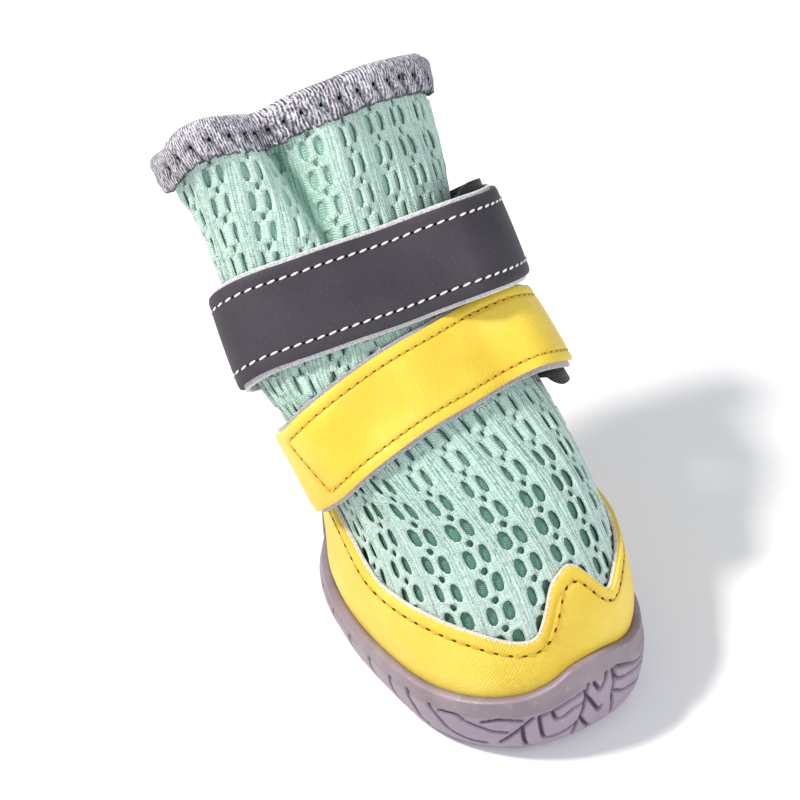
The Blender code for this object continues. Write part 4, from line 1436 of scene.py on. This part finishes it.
def feed(tree, kind, outlet, inputs, **options):
    """Adds a node, feeds it numbers or other nodes' outlets, and returns one of its outlets."""
    added = tree.nodes.new(kind)
    for key, value in options.items():
        setattr(added, key, value)
    for key, value in inputs.items():
        if isinstance(value, bpy.types.NodeSocket):
            tree.links.new(value, added.inputs[key])
        else:
            added.inputs[key].default_value = value
    return added.outputs[outlet]


def reckon(tree, operation, first, second=0.0):
    """One step of arithmetic."""
    return feed(tree, "ShaderNodeMath", 0, {0: first, 1: second}, operation=operation)


def weighted(tree, *parts, plus=0.0):
    """Outlets added up, each times its own weight, and a plain number."""
    total = None
    for outlet, weight in parts:
        part = reckon(tree, "MULTIPLY", outlet, weight)
        total = part if total is None else reckon(tree, "ADD", total, part)
    return reckon(tree, "ADD", total, plus) if plus else total


def stretched(tree, place, scales):
    """A place stretched along its axes."""
    return feed(tree, "ShaderNodeVectorMath", 0, {0: place, 1: scales}, operation="MULTIPLY")


def in_mm(tree):
    """The piece's own coordinates in millimetres."""
    return stretched(tree, feed(tree, "ShaderNodeTexCoord", "Object", {}), (1000, 1000, 1000))


def apart(tree, place):
    """The three numbers of a place, one outlet each."""
    parts = tree.nodes.new("ShaderNodeSeparateXYZ")
    tree.links.new(place, parts.inputs[0])
    return parts.outputs


def flat_place(tree):
    """The flat place of the cloth in millimetres: as a vector, round the boot, and along it."""
    place = feed(tree, "ShaderNodeTexCoord", "UV", {})
    around, along_cloth, _ = apart(tree, place)
    return place, around, along_cloth


def up_the_boot(tree, start, end, most):
    """A share that grows from 0 at one height in millimetres to its most at another."""
    height = apart(tree, in_mm(tree))[2]
    return feed(tree, "ShaderNodeMapRange", 0, {0: height, 1: start, 2: end, 3: 0.0, 4: most})


def share_of(tree, name):
    """A share that was stored with each point."""
    return feed(tree, "ShaderNodeAttribute", "Fac", {}, attribute_name=name)


def cloud(tree, place, scale, detail=2.0):
    """Soft noise of one size."""
    return feed(tree, "ShaderNodeTexNoise", "Fac", {"Vector": place, "Scale": scale, "Detail": detail})


def pebbles(tree, place, scale):
    """Round cells of one size, dark in their middles."""
    return feed(tree, "ShaderNodeTexVoronoi", "Distance", {"Vector": place, "Scale": scale})


def ripple(tree, value, pitch, phase=0.0):
    """A wave from 0 to 1 that repeats at a pitch."""
    turn = reckon(tree, "MULTIPLY", reckon(tree, "ADD", value, phase), 2 * math.pi / pitch)
    return weighted(tree, (reckon(tree, "COSINE", turn), 0.5), plus=0.5)


def shades(tree, factor, stops):
    """Colours at stops from 0 to 1, with a smooth change between them."""
    ramp = tree.nodes.new("ShaderNodeValToRGB")
    for _ in range(len(stops) - 2):
        ramp.color_ramp.elements.new(0.5)
    for element, (position, colour) in zip(ramp.color_ramp.elements, stops):
        element.position = position
        element.color = (*colour, 1)
    tree.links.new(factor, ramp.inputs[0])
    return ramp.outputs[0]


def blend_colours(tree, factor, first, second, kind="MIX"):
    """Two colours mixed by a factor."""
    mix = tree.nodes.new("ShaderNodeMix")
    mix.data_type, mix.blend_type = "RGBA", kind
    for socket, value in ((mix.inputs[0], factor), (mix.inputs[6], first), (mix.inputs[7], second)):
        if isinstance(value, bpy.types.NodeSocket):
            tree.links.new(value, socket)
        else:
            socket.default_value = value if isinstance(value, float) else (*value, 1)
    return mix.outputs[2]


def tinted(tree, colour, mask, share, tint):
    """A colour moved towards a tint by a share of a mask."""
    return blend_colours(tree, reckon(tree, "MULTIPLY", mask, share), colour, tint)


def paint(tree, shader, colour):
    """Gives the shader its colour."""
    tree.links.new(colour, shader.inputs["Base Color"])


def press(tree, shader, heights):
    """Bumps laid over each other. Each has a height outlet, a depth in metres and a strength."""
    normal = None
    for height, depth, strength in heights:
        inputs = {"Height": height, "Distance": depth, "Strength": strength}
        if normal is not None:
            inputs["Normal"] = normal
        normal = feed(tree, "ShaderNodeBump", 0, inputs)
    tree.links.new(normal, shader.inputs["Normal"])


# %% [markdown]
# ## The knit's yarn
# Up close the mesh is knitted from soft yarn, in narrow columns of V-shaped stitches that look
# brushed and uneven. Waves across and along the cloth draw the stitches, noise roughens them,
# and the cords beside the holes are smoother. Painted shade darkens the gaps between the wales
# and the creases. The colour grows paler towards the toe and up the shaft. The plain knit behind
# it is painted darker, as the shade inside the holes, and paler higher up.

# %% The knit's yarn
def net_finish():
    """Mint yarn in narrow wales of V-shaped stitches, with painted shade in a few gaps between them."""
    material, tree, shader = start_finish("mint_net", 0.78, Sheen_Weight=0.25)
    place, around, along_cloth = flat_place(tree)
    inside = reckon(tree, "FRACT", reckon(tree, "MULTIPLY", around, 1 / 0.733))
    lean = reckon(tree, "ABSOLUTE", reckon(tree, "SUBTRACT", inside, 0.5))
    loop = ripple(tree, weighted(tree, (along_cloth, 1 / 0.52), (lean, 1.3)), 1.0)
    loop = weighted(tree, (loop, 0.45), plus=0.55)
    rounded = reckon(tree, "SINE", reckon(tree, "MULTIPLY", inside, math.pi))
    stitch = reckon(tree, "MULTIPLY", reckon(tree, "POWER", rounded, 1.1), loop)
    fuzz = cloud(tree, place, 2.6, 3.0)
    curls = pebbles(tree, stretched(tree, place, (2.1, 1.25, 1.0)), 1.0)
    rough = weighted(tree, (stitch, 0.62), (fuzz, 0.80), (curls, 0.24), plus=-0.20)
    smooth = weighted(tree, (fuzz, 0.40), (stitch, 0.14), plus=0.42)
    cord = share_of(tree, "cord")
    smoother = reckon(tree, "MULTIPLY", cord, reckon(tree, "SUBTRACT", smooth, rough))
    colour = shades(tree, reckon(tree, "ADD", rough, smoother), [
        (0.22, (0.11, 0.27, 0.21)), (0.42, (0.28, 0.48, 0.40)), (0.64, (0.46, 0.67, 0.58)),
        (0.90, (0.70, 0.86, 0.78)),
    ])
    # painted shade: the folds between the wales are drawn as dark green specks, fewer on the cords
    gaps = cloud(tree, stretched(tree, place, (1.364, 0.62, 1.0)), 1.35, 0.0)
    dark = reckon(tree, "MULTIPLY", reckon(tree, "GREATER_THAN", gaps, 0.59), 0.62)
    plain = reckon(tree, "SUBTRACT", 1.0, reckon(tree, "MULTIPLY", cord, 0.85))
    colour = tinted(tree, colour, dark, plain, (0.14, 0.31, 0.25))
    colour = tinted(tree, colour, cloud(tree, place, 0.16, 2.0), 0.22, (0.44, 0.68, 0.59))
    # the colour grows paler towards the toe and up the shaft
    colour = blend_colours(tree, up_the_boot(tree, 58.0, 34.0, 0.36), colour, (0.74, 0.86, 0.84))
    colour = blend_colours(tree, up_the_boot(tree, 62.0, 82.0, 0.38), colour, (0.68, 0.88, 0.79))
    # painted shade: the creases are darkened, most at the bottom of the deep fold in front
    paint(tree, shader, tinted(tree, colour, share_of(tree, "fold"), 0.55, (0.20, 0.44, 0.33)))
    press(tree, shader, [(stitch, 0.00026, 1.0), (curls, 0.00012, 0.7), (fuzz, 0.00010, 0.8)])
    return material


def lining_finish():
    """The plain knit behind the holes, in fine courses, painted darker green as the shade inside them."""
    material, tree, shader = start_finish("green_lining", 0.9)
    place, around, along_cloth = flat_place(tree)
    rows = reckon(tree, "MULTIPLY", ripple(tree, around, 0.6), ripple(tree, along_cloth, 0.5))
    fuzz = cloud(tree, place, 1.9, 3.0)
    # painted shade: these greens are darker than the same yarn on the face of the sock
    colour = shades(tree, weighted(tree, (rows, 0.5), (fuzz, 0.6)), [
        (0.1, (0.05, 0.14, 0.10)), (0.5, (0.13, 0.30, 0.225)), (0.9, (0.26, 0.46, 0.37)),
    ])
    # the painted shade grows lighter higher up the boot
    paler_higher_up = up_the_boot(tree, 52.0, 84.0, 0.78)
    paint(tree, shader, blend_colours(tree, paler_higher_up, colour, (0.42, 0.66, 0.56)))
    press(tree, shader, [(rows, 0.00014, 0.8), (fuzz, 0.0001, 0.6)])
    return material


# %% [markdown]
# ## Coated cloth
# The band and the instep strap are cloth with a yellow coating that is embossed to look like
# leather. Small cells give the pebble, slow noise the changes of tone. At the left of the toe
# the band is wrinkled where it was pulled over the last, so slanting waves fade in there.

# %% Coated cloth
WRINKLE_MIDDLE = 70.0
WRINKLE_SPREAD = 13.0
WRINKLE_PITCH = 0.86


def leather_finish(name, wrinkled=False):
    """Yellow coating with a fine pebble, slow changes of tone and, at the toe, slanting wrinkles."""
    material, tree, shader = start_finish(name, 0.46, Coat_Weight=0.06, Coat_Roughness=0.4)
    place, around, along_cloth = flat_place(tree)
    own = in_mm(tree)
    pebble = pebbles(tree, own, 2.7)
    grain = cloud(tree, own, 1.4, 4.0)
    colour = shades(tree, cloud(tree, own, 0.07, 3.0), [
        (0.30, (0.76, 0.52, 0.035)), (0.50, (0.82, 0.595, 0.050)), (0.72, (0.87, 0.67, 0.090)),
    ])
    colour = tinted(tree, colour, pebble, 0.22, (0.60, 0.38, 0.020))
    rub = reckon(tree, "GREATER_THAN", cloud(tree, own, 0.45, 5.0), 0.69)
    paint(tree, shader, tinted(tree, colour, rub, 0.18, (0.93, 0.74, 0.30)))
    tree.links.new(weighted(tree, (grain, 0.22), plus=0.36), shader.inputs["Roughness"])
    bumps = [(pebble, 0.00009, 0.7), (grain, 0.00012, 0.6)]
    if wrinkled:
        slope = weighted(tree, (around, 1.0), (along_cloth, -0.75), (cloud(tree, place, 0.35, 2.0), 1.6))
        off = reckon(tree, "SUBTRACT", around, WRINKLE_MIDDLE)
        off = reckon(tree, "MULTIPLY", off, 1 / WRINKLE_SPREAD)
        fall = reckon(tree, "MULTIPLY", reckon(tree, "MULTIPLY", off, off), -1.0)
        near = reckon(tree, "POWER", 2.718, fall)
        wrinkles = reckon(tree, "MULTIPLY", ripple(tree, slope, WRINKLE_PITCH), near)
        bumps.append((wrinkles, 0.00015, 0.85))
    press(tree, shader, bumps)
    return material


def backing_finish():
    """The cream cloth edge above the band."""
    material, tree, shader = start_finish("cream_backing", 0.85)
    fuzz = cloud(tree, in_mm(tree), 2.2, 4.0)
    paint(tree, shader, shades(tree, fuzz, [(0.3, (0.55, 0.47, 0.34)), (0.7, (0.86, 0.81, 0.68))]))
    press(tree, shader, [(fuzz, 0.00012, 0.7)])
    return material


# %% [markdown]
# ## The heel's weave and the collar's tape
# The heel panel is a basket weave: warp lies over weft in one square and under it in the next,
# which a checker decides. The tape is knitted from light and dark strands twisted together, so
# it looks heathered. Short stretched noise gives its dashes. Shade is painted into its tucks and
# dimples, and a painted shadow line runs along its hem.

# %% The heel's weave and the collar's tape
THREAD_PITCH = 1.1


def heel_weave_finish():
    """Dark grey basket weave of the heel panel."""
    material, tree, shader = start_finish("grey_basket_weave", 0.82, Sheen_Weight=0.15)
    place, around, along_cloth = flat_place(tree)
    warp = ripple(tree, around, THREAD_PITCH)
    weft = ripple(tree, along_cloth, THREAD_PITCH, THREAD_PITCH / 2)
    over = feed(tree, "ShaderNodeTexChecker", "Fac", {"Vector": place, "Scale": 1 / THREAD_PITCH})
    first = reckon(tree, "MULTIPLY", warp, over)
    second = reckon(tree, "MULTIPLY", weft, reckon(tree, "SUBTRACT", 1.0, over))
    weave = reckon(tree, "ADD", first, second)
    fuzz = cloud(tree, place, 2.0, 3.0)
    paint(tree, shader, shades(tree, weighted(tree, (weave, 0.6), (fuzz, 0.5)), [
        (0.15, (0.012, 0.012, 0.014)), (0.55, (0.060, 0.060, 0.066)), (0.95, (0.17, 0.17, 0.18)),
    ]))
    press(tree, shader, [(weave, 0.00022, 0.9), (fuzz, 0.00008, 0.5)])
    return material


def marled_finish():
    """Heathered rib knit: light and dark strands run over the edge, side by side."""
    material, tree, shader = start_finish("marled_rib", 0.88, Sheen_Weight=0.3)
    place, around, along_cloth = flat_place(tree)
    rib = ripple(tree, weighted(tree, (around, 1.0), (cloud(tree, place, 0.45, 2.0), 0.9)), 0.55)
    dash = cloud(tree, stretched(tree, place, (2.1, 0.8, 1.0)), 1.0, 2.0)
    speck = cloud(tree, stretched(tree, place, (3.2, 2.0, 1.0)), 1.3, 3.0)
    slow = cloud(tree, place, 0.10, 2.0)
    tone = weighted(tree, (rib, 0.30), (dash, 1.25), (speck, 0.95), (slow, 0.5), plus=-0.92)
    colour = shades(tree, tone, [
        (0.30, (0.026, 0.022, 0.034)), (0.46, (0.14, 0.125, 0.16)), (0.62, (0.42, 0.395, 0.46)),
        (0.82, (0.80, 0.78, 0.84)),
    ])
    # painted shade in the tucks and the dimples of the needle holes
    colour = tinted(tree, colour, share_of(tree, "tuck"), 0.75, (0.045, 0.038, 0.052))
    # painted shadow: a thin dark line along the hem, where the tape stands off the sock
    hem = reckon(tree, "LESS_THAN", along_cloth, 0.30)
    paint(tree, shader, tinted(tree, colour, hem, 0.8, (0.030, 0.040, 0.045)))
    press(tree, shader, [(rib, 0.00024, 0.9), (dash, 0.00020, 0.8), (speck, 0.00010, 0.6)])
    return material


# %% [markdown]
# ## Strap finishes
# The ankle strap is matt reflective tape with beads too small to see singly, so it has almost no
# relief. Its lining is brushed felt, and the tabs are black nylon with rows of small hooks. Real
# hooks would be thousands of faces that nobody can see, so a bump stands for them.

# %% Strap finishes
def tape_finish():
    """Matt dark grey reflective tape: tiny glass beads in a weave too fine to feel, with painted glints."""
    material, tree, shader = start_finish("dark_reflective_tape", 0.62, Specular_IOR_Level=0.30)
    place = flat_place(tree)[0]
    beads = pebbles(tree, place, 4.2)
    grain = cloud(tree, place, 3.1, 2.0)
    slow = cloud(tree, place, 0.06, 2.0)
    colour = shades(tree, slow, [(0.3, (0.036, 0.030, 0.040)), (0.7, (0.056, 0.048, 0.061))])
    # painted glints: light specks where the beads would catch the light
    sparkle = reckon(tree, "GREATER_THAN", grain, 0.66)
    paint(tree, shader, tinted(tree, colour, sparkle, 0.35, (0.17, 0.155, 0.18)))
    press(tree, shader, [(beads, 0.00004, 0.5), (grain, 0.00004, 0.4)])
    return material


def felt_finish(name, light):
    """Brushed loops, fuzzy at every edge."""
    material, tree, shader = start_finish(name, 0.95, Sheen_Weight=0.5)
    own = in_mm(tree)
    loops = cloud(tree, own, 2.4, 5.0)
    curls = pebbles(tree, own, 2.1)
    dim = tuple(0.45 * part for part in light)
    tone = weighted(tree, (loops, 0.8), (curls, 0.3))
    paint(tree, shader, shades(tree, tone, [(0.25, dim), (0.75, light)]))
    press(tree, shader, [(loops, 0.00030, 0.9), (curls, 0.00016, 0.6)])
    return material


def hook_finish(name):
    """Black nylon with rows of small hooks on a ribbed ground."""
    material, tree, shader = start_finish(name, 0.55)
    place, around, along_cloth = flat_place(tree)
    hooks = reckon(tree, "MULTIPLY", ripple(tree, around, 0.62), ripple(tree, along_cloth, 0.80))
    fuzz = cloud(tree, place, 2.0, 3.0)
    paint(tree, shader, shades(tree, reckon(tree, "MULTIPLY", hooks, fuzz), [
        (0.05, (0.002, 0.002, 0.003)), (0.6, (0.020, 0.020, 0.024)),
    ]))
    press(tree, shader, [(hooks, 0.00028, 0.9), (fuzz, 0.00010, 0.5)])
    return material


# %% [markdown]
# ## Rubber and foam
# The sole is matt mauve rubber. Painted shade darkens its grooves, painted light makes its lugs
# lighter and more lavender than the lip, and dust lies in patches. The insole, deep inside, is
# dark open foam.

# %% Rubber and foam
def rubber_finish():
    """Mauve rubber with a matt skin, painted light on its lugs, painted shade in its grooves and a little
    dust on it.
    """
    material, tree, shader = start_finish("mauve_rubber", 0.42, Specular_IOR_Level=0.45)
    own = in_mm(tree)
    grain = cloud(tree, own, 1.8, 4.0)
    colour = shades(tree, cloud(tree, own, 0.09, 3.0), [
        (0.30, (0.195, 0.148, 0.180)), (0.55, (0.258, 0.200, 0.235)), (0.75, (0.325, 0.262, 0.290)),
    ])
    colour = tinted(tree, colour, grain, 0.20, (0.36, 0.30, 0.30))
    # painted light: the lugs and tread are lighter and more lavender than the lip
    colour = tinted(tree, colour, share_of(tree, "lug"), 0.55, (0.335, 0.262, 0.365))
    dust = reckon(tree, "GREATER_THAN", cloud(tree, own, 0.6, 5.0), 0.64)
    colour = tinted(tree, colour, dust, 0.16, (0.50, 0.44, 0.38))
    # painted shade: the grooves are darkened almost to black
    paint(tree, shader, tinted(tree, colour, share_of(tree, "groove"), 0.93, (0.036, 0.020, 0.036)))
    tree.links.new(weighted(tree, (grain, 0.26), plus=0.30), shader.inputs["Roughness"])
    press(tree, shader, [(grain, 0.00008, 0.5)])
    return material


def foam_finish():
    """Dark open foam of the insole with fine pores."""
    material, tree, shader = start_finish("insole_foam", 0.92)
    own = in_mm(tree)
    pores = pebbles(tree, own, 1.5)
    tone = reckon(tree, "MULTIPLY", pores, reckon(tree, "ADD", cloud(tree, own, 1.2, 4.0), 0.4))
    paint(tree, shader, shades(tree, tone, [(0.1, (0.02, 0.022, 0.022)), (0.6, (0.12, 0.13, 0.13))]))
    press(tree, shader, [(pores, 0.00025, 0.8)])
    return material


# %% [markdown]
# ## Thread, needle holes and floor
# Gold thread sews the band and the instep strap, and white thread the ankle strap. Each needle
# hole is a small dark dimple, so its ball gets the colour of the shade inside it.

# %% Thread, needle holes and floor
GOLD = ((0.70, 0.42, 0.015), (0.48, 0.25, 0.006))
WHITE = ((0.90, 0.87, 0.88), (0.55, 0.52, 0.55))


def thread_finish(name, light, dark):
    """Twisted thread: fine slanting ridges in two tones."""
    material, tree, shader = start_finish(name, 0.6, Sheen_Weight=0.2)
    twist = cloud(tree, in_mm(tree), 4.5, 2.0)
    paint(tree, shader, shades(tree, twist, [(0.3, dark), (0.65, light)]))
    press(tree, shader, [(twist, 0.00005, 0.7)])
    return material


def needle_finish(name, colour):
    """The shaded inside of a needle hole."""
    material, tree, shader = start_finish(name, 0.95, Specular_IOR_Level=0.05)
    deeper = tuple(0.4 * part for part in colour)
    depth = cloud(tree, in_mm(tree), 2.0, 2.0)
    paint(tree, shader, shades(tree, depth, [(0.3, deeper), (0.7, colour)]))
    return material


def paper_finish():
    """The plain pale floor."""
    return start_finish("pale_floor", 0.95, Specular_IOR_Level=0.1, Base_Color=(0.93, 0.93, 0.93, 1))[0]


# %% Giving each piece its finish
FINISH_OF = {
    net: net_finish(),
    lining: lining_finish(),
    rand: leather_finish("yellow_band_coat", wrinkled=True),
    backing: backing_finish(),
    quarter: heel_weave_finish(),
    binding: marled_finish(),
    sole: rubber_finish(),
    ankle_hooks: hook_finish("ankle_hook_nylon"),
    instep_hooks: hook_finish("instep_hook_nylon"),
    ankle_felt: felt_finish("white_loop_felt", (0.80, 0.80, 0.83)),
    instep_felt: felt_finish("grey_loop_felt", (0.50, 0.47, 0.52)),
    ankle_band: tape_finish(),
    instep_band: leather_finish("yellow_strap_coat"),
    nodes["insole"]: foam_finish(),
    rand_thread: thread_finish("band_gold_thread", *GOLD),
    instep_thread: thread_finish("strap_gold_thread", *GOLD),
    ankle_thread: thread_finish("white_thread", *WHITE),
    rand_needles: needle_finish("band_needle_shade", (0.17, 0.070, 0.005)),
    instep_needles: needle_finish("strap_needle_shade", (0.28, 0.130, 0.006)),
    ankle_needles: needle_finish("tape_needle_shade", (0.012, 0.008, 0.012)),
    binding_needles: needle_finish("binding_needle_shade", (0.010, 0.008, 0.012)),
}
for piece, finish in FINISH_OF.items():
    piece.data.materials.clear()
    piece.data.materials.append(finish)
print(len(FINISH_OF), "finishes")

# %% [markdown]
# ## Camera, floor and light
# The photo looks down on the boot from its front left with a long lens, on a pale floor under
# soft light. The camera stands at the angle that fits the boot's outline best. A small bright
# lamp at the rear left draws the shadow, a large one in front fills the shade.

# %% Camera, floor and light
bpy.context.scene.view_settings.view_transform = "Standard"
VIEW_AZIMUTH, VIEW_ELEVATION = math.radians(-42), math.radians(42)
VIEW_DISTANCE = 0.62
LENS = 138.0
CAMERA_RIGHT, CAMERA_UP = 0.0130, 0.0354
AIM_LEFT, AIM_UP = 0.0149, 0.01425
back = Vector((
    math.sin(VIEW_AZIMUTH) * math.cos(VIEW_ELEVATION),
    -math.cos(VIEW_AZIMUTH) * math.cos(VIEW_ELEVATION),
    math.sin(VIEW_ELEVATION),
))
right = Vector((math.cos(VIEW_AZIMUTH), math.sin(VIEW_AZIMUTH), 0))
up = back.cross(right)
boot_middle = Vector((0, 0, 0.045))
camera_data = bpy.data.cameras.new("camera")
camera = bpy.data.objects.new("camera", camera_data)
bpy.context.scene.collection.objects.link(camera)
bpy.context.scene.camera = camera
camera_data.lens = LENS
camera.location = boot_middle + back * VIEW_DISTANCE + right * CAMERA_RIGHT + up * CAMERA_UP
aim = boot_middle - right * AIM_LEFT + up * AIM_UP
camera.rotation_euler = (camera.location - aim).to_track_quat("Z", "Y").to_euler()

bpy.ops.mesh.primitive_plane_add(size=4, location=(0, 0, 0))
floor = bpy.context.object
floor.name = "floor"
floor.data.materials.append(paper_finish())


def add_light(name, place, size, power, colour):
    """A square soft light that looks at the boot."""
    data = bpy.data.lights.new(name, "AREA")
    data.size, data.energy, data.color = size, power, colour
    lamp = bpy.data.objects.new(name, data)
    bpy.context.scene.collection.objects.link(lamp)
    lamp.location = place
    lamp.rotation_euler = (Vector(place) - Vector((0, 0, 0.04))).to_track_quat("Z", "Y").to_euler()


add_light("key", (-0.50, 0.32, 0.86), 0.12, 10.4, (1.0, 0.97, 0.91))
add_light("fill", (0.1, -1.0, 0.7), 1.0, 7.2, (0.95, 0.97, 1.0))
world = bpy.data.worlds.new("studio")
bpy.context.scene.world = world
world.use_nodes = True
world.node_tree.nodes["Background"].inputs["Color"].default_value = (0.9, 0.93, 1.0, 1)
world.node_tree.nodes["Background"].inputs["Strength"].default_value = 0.50
